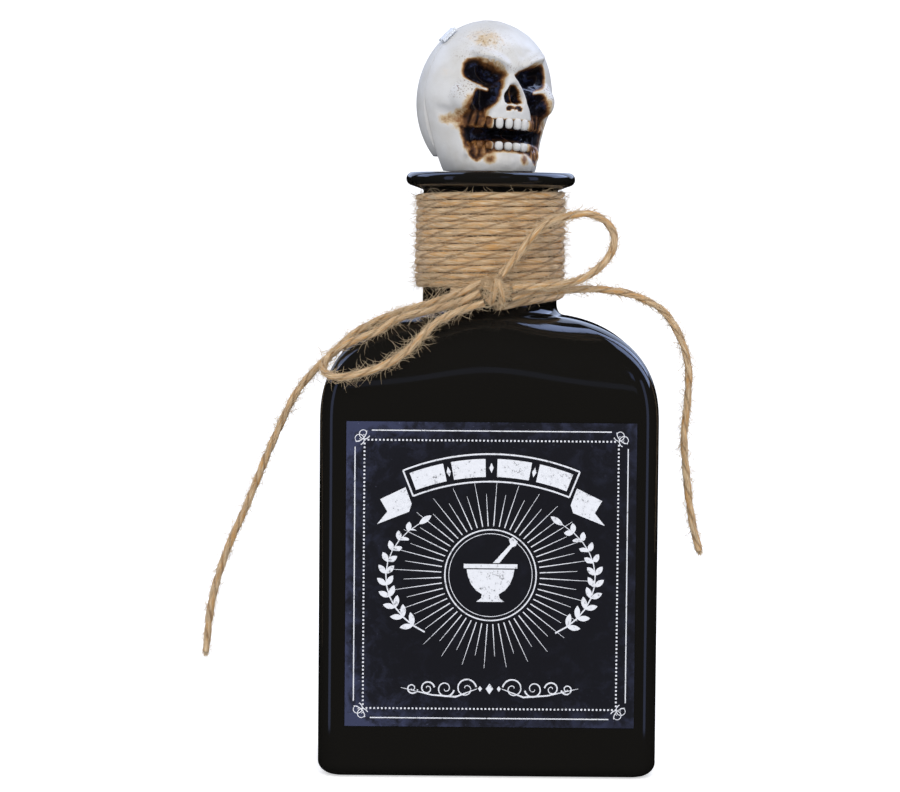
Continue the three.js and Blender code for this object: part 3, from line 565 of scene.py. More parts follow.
def free_twine(name, route, node, seed, hair_count, frayed=False):
    """One free length of the bow, its loose fibres, and its frayed end if asked for."""
    settings = bpy.context.scene.twine
    radius = settings.diameter / METRES_PER_MM / 2
    line = curve_through(route, 0.5)
    frames = carried_frames(line)
    made = twine_piece(name, yarn(line, radius, settings.lay / METRES_PER_MM, 16, seed, frames), node)
    roots, outward, along = surface_roots(line, frames, radius * 0.9, hair_count, seed)
    extras = [hairs(name + "_fuzz", roots, outward, along, seed, reach=(1.2, 6.5), lift=0.45, curl=0.85)]
    if frayed:
        rng = np.random.default_rng(seed + 90)
        ends = np.repeat(line[-1:], FRAYED_ENDS, axis=0) + rng.normal(0, 0.35, (FRAYED_ENDS, 3))
        way = np.repeat(frames[0][-1:], FRAYED_ENDS, axis=0)
        spread = unit(rng.normal(0, 1, (FRAYED_ENDS, 3)))
        extras.append(hairs(name + "_fray", ends, unit(way + spread * 0.3), way, seed + 1,
                            reach=(0.7, 2.0), lift=1.8, curl=0.3, thick=0.07))
    return made


WINDING_BOTTOM, WINDING_TOP, WINDING_TURNS, WOUND_RADIUS = 136.5, 161.88, 12.5, 1.0
WOUND_GAP, TIE_GAP = 0.08, 0.25
TIE_RADIUS, TIE_END_RADIUS, KNOT_RADII = 0.95, 0.92, (0.98, 1.0)
WRAP_DEPTH, WRAP_HEIGHT, KNOT_REACH = 1.75, 2.75, (3.4, 2.4, 3.2)


def winding_line(step=0.55):
    """The winding's centre line, with the small wanderings of twine laid by hand."""
    reach = NECK_RADIUS + WOUND_GAP + WOUND_RADIUS
    total = WINDING_TURNS * 2 * math.pi * reach
    share = np.linspace(0, 1, int(total / step) + 1)
    turn = math.pi + share * WINDING_TURNS * 2 * math.pi
    wander = np.array([[wobble(s * total, 23, 3), wobble(s * total, 31, 9)] for s in share])
    ease = np.minimum(1, np.minimum(share, 1 - share) * 30)
    radius = reach + (0.16 + 0.3 * wander[:, 0]) * ease
    height = WINDING_BOTTOM + share * (WINDING_TOP - WINDING_BOTTOM) + 0.34 * wander[:, 1] * ease
    line = np.stack([radius * np.cos(turn), radius * np.sin(turn), height], axis=1)
    ahead = unit(np.gradient(line, axis=0))
    up = unit(np.cross(ahead, np.cross([0, 0, 1.0], ahead)))
    return line, (ahead, unit(np.cross(up, ahead)), up)


def tie_line():
    """The loose last turn: from the winding's lower end round the back and right to the knot."""
    first, last = 174.5, -58.0
    places = []
    for share in np.linspace(0, 1, 24):
        turn = first + (last - first) * share
        behind = min(max((180 - turn) / 180, 0), 1)
        before = min(max(turn / last, 0), 1)
        reach = NECK_RADIUS + TIE_GAP + TIE_RADIUS + 0.3 * before
        angle = math.radians(turn)
        places.append((reach * math.cos(angle), reach * math.sin(angle),
                       WINDING_BOTTOM - 2.6 * behind - 1.8 * before))
    places.append((KNOT_CENTRE[0], KNOT_CENTRE[1] + 2.0, KNOT_CENTRE[2] - 4.3))
    return curve_through(places, 0.5)


# Glass

BODY_WIDTH, BODY_DEPTH, CORNER_RADIUS = 94.0, 58.0, 6.5
SHOULDER_CENTRE, SHOULDER_SQUARENESS = 10.0, 2.45
BOTTLE_HEIGHT = 168.0
FILLET_REACH, FILLET_RISE = 2.1, 3.6
HEEL_RADIUS, HEEL_RISE, PUNT_SETBACK, PUNT_RISE = 5.5, 4.0, 11.5, 2.5
WALL, FLOOR_TOP, INNER_NECK = 3.2, 7.0, 11.7
LIP_RADIUS, LIP_EDGE, LIP_UNDERSIDE_TURN = 22.0, 1.9, 70
MOUTH_RADIUS, MOUTH_EDGE, BORE_RADIUS, BORE_DEPTH = 12.9, 0.9, 11.4, 26


def plan_reach(angle, half_width, half_depth, radius):
    """How far a rounded rectangle reaches from its middle in one direction."""
    across, along = abs(math.cos(angle)), abs(math.sin(angle))
    if along * half_width <= across * (half_depth - radius):
        return half_width / across
    if across * half_depth <= along * (half_width - radius):
        return half_depth / along
    towards = across * (half_width - radius) + along * (half_depth - radius)
    beyond = (half_width - radius) ** 2 + (half_depth - radius) ** 2 - radius ** 2
    return towards + math.sqrt(towards ** 2 - beyond)


def plan_angles(side=14, corner=18, face=22):
    """Directions round the bottle, close together at the plan's corners."""
    start = math.atan2(BODY_DEPTH / 2 - CORNER_RADIUS, BODY_WIDTH / 2)
    end = math.atan2(BODY_DEPTH / 2, BODY_WIDTH / 2 - CORNER_RADIUS)
    quarter = np.concatenate([np.linspace(a, b, n, endpoint=False) for a, b, n in (
        (0, start, side), (start, end, corner), (end, math.pi / 2, face))])
    half = np.concatenate([quarter, [math.pi / 2], math.pi - quarter[:0:-1]])
    return np.concatenate([half, half + math.pi])


def outside_reach(angle, setback=0.0, inset=0.0):
    inner = inset + setback
    radius = max(CORNER_RADIUS - inner, (CORNER_RADIUS - inset) / 2)
    return plan_reach(angle, BODY_WIDTH / 2 - inner, BODY_DEPTH / 2 - inner, radius)


def spring_height(angle):
    """How high the straight side ends: the front and back arch up above the ends."""
    return 97.0 + 6.0 * math.sin(angle) ** 2


def shoulder_curve(angle, inset, end_radius, top):
    """The rounded shoulder above one direction, as a function of the share of the way up it."""
    spring = spring_height(angle)
    run = outside_reach(angle, 0, inset) - SHOULDER_CENTRE
    end_share = (end_radius + FILLET_REACH - SHOULDER_CENTRE) / run
    end_height = (1 - end_share ** SHOULDER_SQUARENESS) ** (1 / SHOULDER_SQUARENESS)
    rise = (top - spring) / end_height
    power = 2 / SHOULDER_SQUARENESS
    limit = math.acos(end_share ** (1 / power))
    slope = (rise / run) * (end_share / end_height) ** (SHOULDER_SQUARENESS - 1)

    def at(share):
        swing = share * limit
        return SHOULDER_CENTRE + run * math.cos(swing) ** power, spring + rise * math.sin(swing) ** power

    return at, slope


def fillet_at(share, radius, top, end, slope):
    """A point of the curve from the shoulder's end up to a straight neck."""
    points = ((radius + FILLET_REACH, top), (radius, top + FILLET_REACH * slope), (radius, end))
    weights = ((1 - share) ** 2, 2 * share * (1 - share), share ** 2)
    return tuple(sum(w * p[k] for w, p in zip(weights, points)) for k in (0, 1))


def glass_sections():
    """Functions that each give the radius and height of one ring of the glass in a direction."""
    rings = []
    top, inner_top = SHOULDER_TOP, SHOULDER_TOP - WALL
    for share in (0.2, 0.5, 0.8, 0.95, 1.0):
        rings.append(lambda a, s=share: (s * outside_reach(a, PUNT_SETBACK), PUNT_RISE * (1 - s ** 2)))

    def heel(turns, inset, foot):
        for turn in np.radians(turns):
            rings.append(lambda a, t=turn: (outside_reach(a, HEEL_RADIUS * (1 - math.sin(t)), inset),
                                            foot + HEEL_RISE * (1 - math.cos(t))))

    def shoulder(shares, inset, neck, end):
        for share in shares:
            rings.append(lambda a, s=share: shoulder_curve(a, inset, neck, end)[0](s))

    def fillet(shares, inset, neck, end):
        for share in shares:
            rings.append(lambda a, s=share: fillet_at(
                s, neck, end, top + FILLET_RISE, shoulder_curve(a, inset, neck, end)[1]))

    heel(np.linspace(0, 90, 11), 0.0, 0.0)
    for share in np.linspace(0, 1, 9)[1:-1]:
        rings.append(lambda a, s=share: (
            outside_reach(a), HEEL_RISE + s * (spring_height(a) - HEEL_RISE)))
    shoulder(np.linspace(0, 1, 33), 0, NECK_RADIUS, top)
    fillet(np.linspace(0, 1, 9)[1:], 0, NECK_RADIUS, top)
    for radius, height in lip_outline():
        rings.append(lambda a, r=radius, h=height: (r, h))
    fillet(np.linspace(1, 0, 5)[:-1], WALL, INNER_NECK, inner_top)
    shoulder(np.linspace(1, 0, 9), WALL, INNER_NECK, inner_top)
    heel((90, 60, 30, 0), WALL, FLOOR_TOP)
    return rings


def lip_outline():
    """The round part's outline from the neck, over the lip and down the bore."""
    underside = BOTTLE_HEIGHT - LIP_EDGE * (1 + math.sin(math.radians(LIP_UNDERSIDE_TURN))) - 1.05
    outline = [(NECK_RADIUS, 140.0), (NECK_RADIUS, 152.0), (NECK_RADIUS, underside - 0.6),
               (NECK_RADIUS + 0.18, underside - 0.18), (NECK_RADIUS + 0.6, underside)]
    for radius, edge, turns in ((LIP_RADIUS, LIP_EDGE, np.linspace(-LIP_UNDERSIDE_TURN, 90, 17)),
                                (MOUTH_RADIUS, MOUTH_EDGE, np.linspace(90, 180, 7))):
        outline += [(radius + edge * math.cos(t), BOTTLE_HEIGHT - edge + edge * math.sin(t))
                    for t in np.radians(turns)]
    return outline + [(BORE_RADIUS, BOTTLE_HEIGHT - BORE_DEPTH)]


def glass_mesh():
    """Extrudes a ring of edges from the punt's middle over the whole glass to the floor inside."""
    angles = plan_angles()
    bm = bmesh.new()
    bmesh.ops.create_circle(bm, cap_ends=False, segments=len(angles), radius=1.0)
    bm.verts.ensure_lookup_table()
    sections = glass_sections()
    bottom = list(bm.verts)
    for vertex, angle in zip(bottom, angles):
        radius, height = sections[0](angle)
        vertex.co = (radius * math.cos(angle), radius * math.sin(angle), height)
    edges = list(bm.edges)
    bmesh.ops.holes_fill(bm, edges=edges, sides=0)
    for section in sections[1:]:
        grown = bmesh.ops.extrude_edge_only(bm, edges=edges)["geom"]
        edges = [e for e in grown if isinstance(e, bmesh.types.BMEdge)]
        for vertex in (v for v in grown if isinstance(v, bmesh.types.BMVert)):
            angle = math.atan2(vertex.co.y, vertex.co.x)
            radius, height = section(angle)
            vertex.co = (radius * math.cos(angle), radius * math.sin(angle), height)
    bmesh.ops.holes_fill(bm, edges=edges, sides=0)
    return bm


# Skull, worked out sideways, forwards and up in its own frame, from the middle of the lip's top

HEAD_PIVOT, HEAD_TURN, HEAD_LEAN = 20.0, 27.0, 3.0
SEAM_SETBACK, SEAM_GAP = 3.0, 0.3
CRANIUM_CENTRE, CRANIUM_RADII = (0.0, -3.5, 20.0), (19.6, 20.0, 23.0)
JAW_CENTRE_HEIGHT = 8.6
# Height, half width, front and squareness of each level
SECTIONS = np.array([
    (-2, 11.6, 12.4, 2.3), (1, 13.3, 14.0, 2.3), (5, 15.1, 14.1, 1.92), (10, 16.8, 13.9, 1.66),
    (15, 18.4, 13.6, 1.7), (20, 19.6, 13.3, 1.9), (25, 19.2, 12.6, 1.92), (30, 17.7, 13.0, 1.93),
    (35, 14.9, 11.8, 1.98), (39, 11, 8, 2), (41.5, 6.9, 3.6, 2), (42.7, 3, -0.4, 2), (43, 0.6, -2.6, 2)])
# Ellipsoids that raise or hollow the head: centre, radii, and degrees of lean and turn
RAISED_MIDDLE = {
    "nose_bridge": ((0, 9.8, 25), (2.1, 3.2, 3.8), 0, 0),
    "nose_plate": ((0, 9.2, 19), (6.3, 4.7, 5.6), 0, 0),
    "chin": ((0, 9.8, 3), (7.6, 4.8, 3.4), 0, 0),
    "glabella": ((0, 10.6, 30.4), (3.6, 2.8, 2.2), 0, 0)}
RAISED_PAIR = {
    "brow": ((6.6, 10.6, 31.6), (5.6, 2.8, 2), 22, 34),
    "cheekbone": ((12, 7.6, 20.4), (4.4, 3.6, 4.4), 6, 48)}
HOLLOW_MIDDLE = {
    "nose_top": ((0, 15.4, 22.6), (1.6, 4.6, 2.4), 0, 0),
    "mouth": ((0, 14.2, 10.2), (10.6, 6.6, 1.8), 0, 0),
    "lip_line": ((0, 19.6, 8.2), (6.4, 5.4, 3.6), 0, 0)}
HOLLOW_PAIR = {
    "socket": ((7.4, 15.2, 27.6), (5.2, 7.6, 3.6), 18, 0),
    "nostril": ((1.5, 15.4, 20.6), (1.6, 4.6, 2.2), -22, 0),
    "cheek_hollow": ((8.7, 15.2, 18.4), (3.3, 6, 5.4), -16, 0),
    "under_cheek": ((16, 5.9, 14.4), (6.5, 2, 2.3), 20, 54),
    "tooth_row": ((10.8, 13, 9.4), (3.8, 5.8, 3.6), 0, 35)}
HEAD_BLEND = 1.15


def within(feature, side, places):
    """How far outside an ellipsoid points lie, negative inside; places are three rows."""
    at, radii, lean, turn = feature
    sideways, forward, up = places
    lean, turn = math.radians(lean), math.radians(turn)
    across, ahead, rise = side * sideways - at[0], forward - at[1], up - at[2]
    turned = across * math.cos(turn) - ahead * math.sin(turn)
    along = across * math.sin(turn) + ahead * math.cos(turn)
    leant = turned * math.cos(lean) + rise * math.sin(lean)
    risen = rise * math.cos(lean) - turned * math.sin(lean)
    near, slope = (
        np.sqrt(sum((part / radius ** power) ** 2 for part, radius in zip((leant, along, risen), radii)))
        for power in (1, 2))
    return near * (near - 1) / np.maximum(slope, 1e-9)


def blended(first, second, reach=HEAD_BLEND):
    share = np.maximum(reach - np.abs(first - second), 0) / reach
    return np.minimum(first, second) - share ** 2 * reach / 4


def plain_head(places):
    """How far outside the head's eased sections points lie."""
    sideways, forward, up = places
    heights = SECTIONS[:, 0]
    below = np.clip(np.searchsorted(heights, up, side="right") - 1, 0, len(heights) - 2)
    rise = heights[below + 1] - heights[below]
    share = np.clip((up - heights[below]) / rise, 0, 1)
    padded = np.vstack([SECTIONS[:1], SECTIONS, SECTIONS[-1:]])
    slopes = (padded[2:, 1:] - padded[:-2, 1:]) / (padded[2:, :1] - padded[:-2, :1])
    eased = []
    for column in range(3):
        start, finish = SECTIONS[below, column + 1], SECTIONS[below + 1, column + 1]
        leave, arrive = slopes[below, column] * rise, slopes[below + 1, column] * rise
        eased.append(start + share * (leave + share * (
            3 * (finish - start) - 2 * leave - arrive + share * (leave + arrive - 2 * (finish - start)))))
    side, front, squareness = eased
    ahead = np.maximum(forward + SEAM_SETBACK, 0) / (front + SEAM_SETBACK)
    near = (np.abs(sideways / side) ** squareness + ahead ** squareness) ** (1 / squareness)
    return np.maximum((near - 1) * np.minimum(side, front + SEAM_SETBACK), up - heights[-1])


def with_features(value, places, middle, pair):
    for feature in middle.values():
        value = blended(value, within(feature, 1, places))
    for feature in pair.values():
        for side in (-1, 1):
            value = blended(value, within(feature, side, places))
    return value


def head_outside(places):
    """How far outside the sculpted head points lie."""
    raised = with_features(plain_head(places), places, RAISED_MIDDLE, RAISED_PAIR)
    return -with_features(-raised, places, HOLLOW_MIDDLE, HOLLOW_PAIR)


def head_surface(directions):
    """Walks in from outside along each direction until the sculpted surface.

    The walks end at the cranium's centre, and those that point down at the jaw's.
    """
    rise = np.degrees(np.arcsin(np.clip(directions[:, 2], -1, 1)))
    start = np.zeros_like(directions)
    start[:, 1] = CRANIUM_CENTRE[1]
    start[:, 2] = JAW_CENTRE_HEIGHT + (CRANIUM_CENTRE[2] - JAW_CENTRE_HEIGHT) * smooth_share(rise, -30, 8)
    outermost, steps, pace = 32.0, 60, 0.55
    reach = np.full(len(directions), outermost)
    for _ in range(steps):
        gap = head_outside((start + directions * reach[:, None]).T)
        reach = np.maximum(reach - np.clip(gap, -0.4, 3.0) * pace, 0.5)
    return start + directions * reach[:, None]


def head_to_bottle():
    """The matrix from the skull's frame (sideways, forwards, up) to its place on the bottle."""
    mirror = Matrix.Diagonal((1, -1, 1, 1))
    tilt = Matrix.Rotation(math.radians(HEAD_LEAN), 4, "Y")
    turn = Matrix.Rotation(math.radians(HEAD_TURN), 4, "Z")
    return (Matrix.Translation((0, 0, BOTTLE_HEIGHT + HEAD_PIVOT)) @ turn @ tilt
            @ Matrix.Translation((0, 0, -HEAD_PIVOT)) @ mirror)


def cut_away(bm, point, normal):
    """Cuts off what lies on the normal's side of a plane, and closes the cut."""
    geometry = list(bm.verts) + list(bm.edges) + list(bm.faces)
    cut = bmesh.ops.bisect_plane(bm, geom=geometry, plane_co=point, plane_no=normal, clear_outer=True)
    edges = [e for e in cut["geom_cut"] if isinstance(e, bmesh.types.BMEdge)]
    bmesh.ops.holes_fill(bm, edges=edges, sides=0)


TEETH = (
    {"count": 8, "forward": 13.7, "up": 13.5, "radii": (1.1, 1.1, 1.6)},
    {"count": 8, "forward": 14.0, "up": 7.1, "radii": (1.12, 1.15, 1.2)})
TOOTH_ARC, TOOTH_ANGLE = 9.2, 16.3


def tooth_centres(row):
    for i in range(row["count"]):
        swing = math.radians((i - (row["count"] - 1) / 2) * TOOTH_ANGLE)
        ahead = row["forward"] - TOOTH_ARC * (1 - math.cos(swing))
        yield swing, (TOOTH_ARC * math.sin(swing), ahead, row["up"])


def add_tooth(bm, swing, centre, radii, seed):
    """One tooth: a sphere squared off and flattened at the front, and marked as tooth."""
    mark = bm.verts.layers.float["tooth"]
    made = bmesh.ops.create_uvsphere(bm, u_segments=18, v_segments=12, radius=1.0)["verts"]
    for vertex in made:
        vertex[mark] = 1.0
        squared = Vector([math.copysign(abs(c) ** 0.72, c) for c in vertex.co])
        squared.x *= radii[0] * (1 + 0.08 * noise.noise(Vector((seed, 0.5, 0))))
        squared.y *= radii[1]
        squared.z *= radii[2] * (1 + 0.1 * noise.noise(Vector((seed, 9.5, 0))))
        vertex.co = squared
    bmesh.ops.rotate(bm, verts=made, cent=(0, 0, 0), matrix=Matrix.Rotation(-swing, 3, "Z"))
    bmesh.ops.translate(bm, verts=made, vec=centre)


def face_half():
    """The skull's face: a fine sphere of directions walked in to the sculpted surface, with its teeth."""
    bm = bmesh.new()
    bm.verts.layers.float.new("tooth")
    bmesh.ops.create_uvsphere(bm, u_segments=400, v_segments=240, radius=1.0)
    directions = np.array([v.co for v in bm.verts])
    directions /= np.linalg.norm(directions, axis=1, keepdims=True)
    for vertex, place in zip(bm.verts, carved(head_surface(directions))):
        vertex.co = place
    cut_away(bm, (0, -SEAM_SETBACK, 0), (0, -1, 0))
    seed = 0
    for row in TEETH:
        for swing, centre in tooth_centres(row):
            seed += 1
            add_tooth(bm, swing, centre, row["radii"], seed)
    return bm


def back_half():
    """The rear of the cranium, smooth."""
    bm = bmesh.new()
    bmesh.ops.create_uvsphere(bm, u_segments=160, v_segments=100, radius=1.0)
    bmesh.ops.scale(bm, vec=CRANIUM_RADII, verts=bm.verts)
    bmesh.ops.translate(bm, vec=CRANIUM_CENTRE, verts=bm.verts)
    cut_away(bm, (0, -SEAM_SETBACK - SEAM_GAP, 0), (0, 1, 0))
    return bm


def smooth_share(value, start, end):
    share = np.clip((value - start) / (end - start), 0, 1)
    return share * share * (3 - 2 * share)


def near_line(route, across, up):
    """How far points lie from a line of corners."""
    far = np.full(across.shape, np.inf)
    for (x0, y0), (x1, y1) in zip(route, route[1:]):
        run, rise = x1 - x0, y1 - y0
        share = np.clip(((across - x0) * run + (up - y0) * rise) / (run * run + rise * rise), 0, 1)
        far = np.minimum(far, np.hypot(across - x0 - share * run, up - y0 - share * rise))
    return far


def inside_by(outline, across, up):
    """How far inside an outline points lie, negative outside it."""
    closed = outline + outline[:1]
    crossings = np.zeros(across.shape, int)
    for (x0, y0), (x1, y1) in zip(closed, closed[1:]):
        if y1 != y0:
            crossings += ((y0 > up) != (y1 > up)) & (across < x0 + (x1 - x0) * (up - y0) / (y1 - y0))
    return np.where(crossings % 2 == 1, 1, -1) * near_line(closed, across, up)


def filled(at, outline, soft, amount=1.0):
    """The amount inside an outline, which fades over a softness on either side of its edge."""
    return amount * smooth_share(inside_by(outline, *at), -soft, soft)


def stroke(at, route, width, amount=1.0):
    """The amount along a line, which fades over a width."""
    return amount * np.exp(-(near_line(route, *at) / width) ** 2)


# Outlines and lines on the face, out from its middle and up; both sides are alike
SOCKET = [(12.6, 27.2), (12.2, 29.4), (11.2, 30.6), (9.4, 31.0), (7.2, 30.4), (4.4, 29.0), (2.2, 28.0),
          (1.3, 27.0), (2.2, 25.4), (3.9, 24.0), (8.6, 23.5), (11.2, 24.4), (12.3, 25.8)]
CHEEK = [(1.6, 26.4), (3.0, 24.4), (8.8, 23.6), (9.9, 23.4), (11.2, 21.6), (11.9, 20.0), (12.4, 17.6),
         (12.4, 14.6), (12.0, 12.2), (8.2, 12.2), (7.0, 14.4), (6.9, 15.6), (6.3, 17.0), (4.6, 19.2),
         (3.5, 22.4)]
UNDER_SOCKET = [(2.5, 25.4), (5.0, 25.0), (8.4, 24.6), (8.6, 22.4), (5.2, 22.0), (3.6, 22.6)]
NASAL = [(-0.1, 24.5), (1.0, 24.2), (2.0, 22.6), (2.8, 20.6), (2.7, 19.5), (1.4, 19.0), (-0.1, 19.2)]
GROOVE = [(-0.1, 18.2), (1.5, 18.6), (2.6, 18.0), (2.4, 16.9), (1.4, 17.0), (0.6, 17.5), (-0.1, 17.2)]
MOUTH = [(-0.1, 12.0), (5.0, 11.9), (8.0, 12.1), (11.0, 12.4), (12.3, 11.6), (11.7, 9.8), (11.2, 7.6),
         (10.3, 6.6), (9.2, 8.2), (4.0, 8.4), (-0.1, 8.4)]
UPPER_GUM = [(-0.1, 14.9), (6.8, 15.2), (8.0, 11.8), (-0.1, 11.8)]
GUM = [(-0.1, 8.6), (6.6, 8.4), (10.0, 8.4), (11.4, 9.0), (11.3, 7.0), (10.4, 4.0), (8.4, 2.9), (6.8, 4.6),
       (5.2, 5.4), (-0.1, 5.7)]
NOSE_BONE = [(-0.1, 27.2), (0.6, 27.0), (1.7, 25.6), (3.3, 22.5), (4.4, 19.4), (6.1, 17.0), (6.7, 15.5),
             (6.3, 14.6), (-0.1, 14.6)]
CHEEK_PATCH = [(13.6, 25.4), (9.9, 23.6), (11.9, 21.2), (13.9, 19.6), (16.2, 20.2), (15.9, 23.0)]
BROW_RIDGE = [(12.6, 31.6), (10.6, 32.5), (8.6, 32.3), (6.2, 31.3), (3.6, 30.0), (1.2, 29.2), (0, 29.0)]
LOWER_RIM = [(13.2, 24.7), (10.2, 23.2), (7.0, 22.5)]
CHEEK_EDGE = [(12.3, 19.5), (12.9, 15.5), (12.8, 12.5)]
STREAK = [(18.0, 13.6), (15.3, 13.9), (12.6, 15.2)]
JAW_EDGE = [(12.4, 11.8), (11.4, 8.4), (10.7, 5.0), (9.2, 3.2)]

# Each outline's softness and how far it stands out, and each line's width and how far it stands out
SHAPED = ((SOCKET, 0.7, -1.2), (CHEEK, 0.8, -0.9), (NASAL, 0.35, -1.5), (GROOVE, 0.3, -0.45),
          (MOUTH, 0.5, -1.0), (GUM, 0.5, -0.3), (NOSE_BONE, 0.35, 0.6))
SHAPED_LINES = ((LOWER_RIM, 0.8, 0.5), (STREAK, 1.3, -0.4))

# Each outline's softness and how thick the wash is in it, and the same for lines
WASHED = ((GUM, 0.7, 0.74), (SOCKET, 1.1, 0.94), (CHEEK, 1.0, 0.9), (UNDER_SOCKET, 0.8), (NASAL, 0.4, 0.95),
          (GROOVE, 0.3, 0.85), (MOUTH, 0.6), (UPPER_GUM, 0.4, 0.95))
WASHED_LINES = ((STREAK, 1.7, 0.36), (JAW_EDGE, 0.7, 0.8), (CHEEK_EDGE, 1.6, 0.42))


def on_face(places):
    """Each point's distance from the face's middle and its height, and 0 to 1 for how far it is in front.

    The sockets and brows sit a little to one side of the head's own middle.
    """
    sideways, forward, up = places
    return np.abs(sideways + 0.9 * smooth_share(up, 23.5, 27)), up, smooth_share(forward, -1.0, 4.0)


def teeth_ribs(across, up):
    """0 to 1: how far a point lies on the ribs of the side teeth, which are only hinted at."""
    pitch, slant = 1.75, 0.12
    ribs = 0.5 + 0.5 * np.cos(2 * math.pi * (across + slant * (up - 10)) / pitch)
    low = smooth_share(up, 3.2, 4.6) * smooth_share(up, 8.6, 7.8)
    high = smooth_share(up, 11.9, 12.6) * smooth_share(up, 17.5, 15.5)
    return ribs * (low + high) * smooth_share(across, 6.4, 7.4) * smooth_share(across, 12.2, 11.0)


def carved(places):
    """Presses the outlines into the walked surface and raises its ridges; places are rows of points."""
    across, up, ahead = on_face(places.T)
    at = across, up
    rise = (sum(filled(at, *row) for row in SHAPED) + sum(stroke(at, *row) for row in SHAPED_LINES)
            + stroke(at, BROW_RIDGE, 1.6, 0.5) * smooth_share(across, 12.5, 9) + 0.6 * teeth_ribs(across, up))
    rough = np.array([noise.fractal(Vector(p) / 2.6, 1.0, 2.0, 3) for p in places])
    rise = (rise + 0.16 * rough * smooth_share(across, 15, 8)) * ahead
    outward = (places - CRANIUM_CENTRE) * [1, 1, 0]
    return places + unit(outward) * rise[:, None]


def paint_marks(places):
    """How thick the wash is at each point, how black its core, and how speckled."""
    across, up, ahead = on_face(places)
    at = across, up
    wash = np.maximum.reduce([filled(at, *row) for row in WASHED]
                             + [stroke(at, *row) for row in WASHED_LINES])
    wash = wash * (1 - 0.42 * teeth_ribs(across, up))
    sunk = smooth_share(inside_by(SOCKET, across, up + 1.0), -0.9, 0.9)
    core = np.maximum.reduce([
        filled(at, SOCKET, 0.9) * sunk, filled(at, CHEEK, 1.4) * smooth_share(up, 14.5, 18.0),
        filled(at, UNDER_SOCKET, 0.5), filled(at, MOUTH, 0.6) * smooth_share(across, 11.2, 9.4),
        filled(at, NASAL, 0.9, 0.8) * smooth_share(up, 23, 21)])
    rim = stroke(at, LOWER_RIM, 0.55) * smooth_share(across, 6.6, 7.6) * smooth_share(across, 13, 11.5)
    bare = np.maximum(rim, filled(at, NOSE_BONE, 0.3))
    bare = 1 - bare * (1 - np.maximum(filled(at, NASAL, 0.35), filled(at, GROOVE, 0.3)))
    forehead = np.exp(-((places[0] + 6.5) / 5.0) ** 2 - ((up - 36.5) / 3.4) ** 2)
    temple = np.exp(-(np.hypot(places[0] + 17.4, (up - 27) * 1.4) / 2.2) ** 2)
    chin = np.exp(-(np.hypot(np.abs(places[0] + 1) - 5.2, up - 3.6) / 1.5) ** 2)
    wash = np.maximum.reduce([wash * bare, 0.19 * forehead + 0.1 * temple, 0.5 * chin])
    speck = np.maximum.reduce([filled(at, CHEEK_PATCH, 0.6), forehead, stroke(at, BROW_RIDGE, 1.6, 0.55)])
    return np.stack([wash * ahead, core * bare * ahead, speck * ahead, np.ones_like(up)], axis=1)


def paint_face(made):
    """Writes the wash as a colour attribute of the finished mesh."""
    mesh = made.data
    places = np.empty(len(mesh.vertices) * 3)
    mesh.vertices.foreach_get("co", places)
    back = np.array(head_to_bottle().inverted())
    local = places.reshape(-1, 3) / METRES_PER_MM
    local = local @ back[:3, :3].T + back[:3, 3]
    marks = paint_marks(local.T)
    tooth = np.zeros(len(mesh.vertices))
    if "tooth" in mesh.attributes:
        mesh.attributes["tooth"].data.foreach_get("value", tooth)
    across, up, _ = on_face(local.T)
    worn = 0.03 + 0.5 * smooth_share(across, 5.0, 6.6) + 0.3 * smooth_share(np.abs(up - 10.3), 4.2, 5.4)
    for column, on_tooth in enumerate((worn, 0, 0)):
        marks[:, column] = np.where(tooth > 0, on_tooth, marks[:, column])
    layer = mesh.color_attributes.new("paint", "FLOAT_COLOR", "POINT")
    layer.data.foreach_set("color", marks.ravel())


# Label print, drawn from its middle

LABEL_CENTRE = (0.6, -29.2, 56.85)
LABEL_HALVES = (40.0, 42.3)
INK_THICKNESS = 0.03
BORDER_HALVES = (37.6, 39.85)
RIBBON_CENTRE = (0, -31.5)
FOOT_HEIGHT = -31.6


def drawn(name, paths, closed):
    """The mesh of paths on a flat curve: strokes of a width, or closed outlines that are filled."""
    curve = bpy.data.curves.new(name, "CURVE")
    if closed:
        curve.dimensions, curve.fill_mode, curve.extrude = "2D", "BOTH", 0.5
    else:
        curve.dimensions, curve.bevel_depth, curve.bevel_resolution = "3D", 1.0, 1
        curve.use_fill_caps = True
    for points, width in paths:
        spline = curve.splines.new("POLY")
        spline.points.add(len(points) - 1)
        for target, (u, v), radius in zip(spline.points, points, np.broadcast_to(width, len(points))):
            target.co = (u, v, 0, 1)
            target.radius = radius / 2
        spline.use_cyclic_u = closed
    return mesh_of(curve)


def flat_print(name, strokes, fills, lift=0.02):
    """Strokes and filled shapes as one thin printed layer on the label's face."""
    bm = bmesh.new()
    for closed, paths in ((False, strokes), (True, [(points, 2) for points in fills])):
        if paths:
            mesh = drawn(name + ("_fills" if closed else "_strokes"), paths, closed)
            bm.from_mesh(mesh)
            bpy.data.meshes.remove(mesh)
    x, y, z = LABEL_CENTRE
    for vertex in bm.verts:
        u, v, proud = vertex.co
        vertex.co = (x + u, y - lift - INK_THICKNESS * min(max(proud, -0.5), 0.5), z + v)
    return piece(name, bm, "bottle", made_of(screen_printed_ink))


def arc(centre, radius, start, end, count):
    turns = np.radians(np.linspace(start, end, count))
    return [(centre[0] + radius * math.cos(t), centre[1] + radius * math.sin(t)) for t in turns]


def scroll(centre, size, start, turns, flip=1, count=34):
    """A spiral that tightens to its middle."""
    points = []
    for share in np.linspace(0, 1, count):
        turn = math.radians(start) + flip * turns * 2 * math.pi * share
        reach = size * (1 - share) ** 0.8 + 0.12 * size
        points.append((centre[0] + reach * math.cos(turn), centre[1] + reach * math.sin(turn)))
    return points


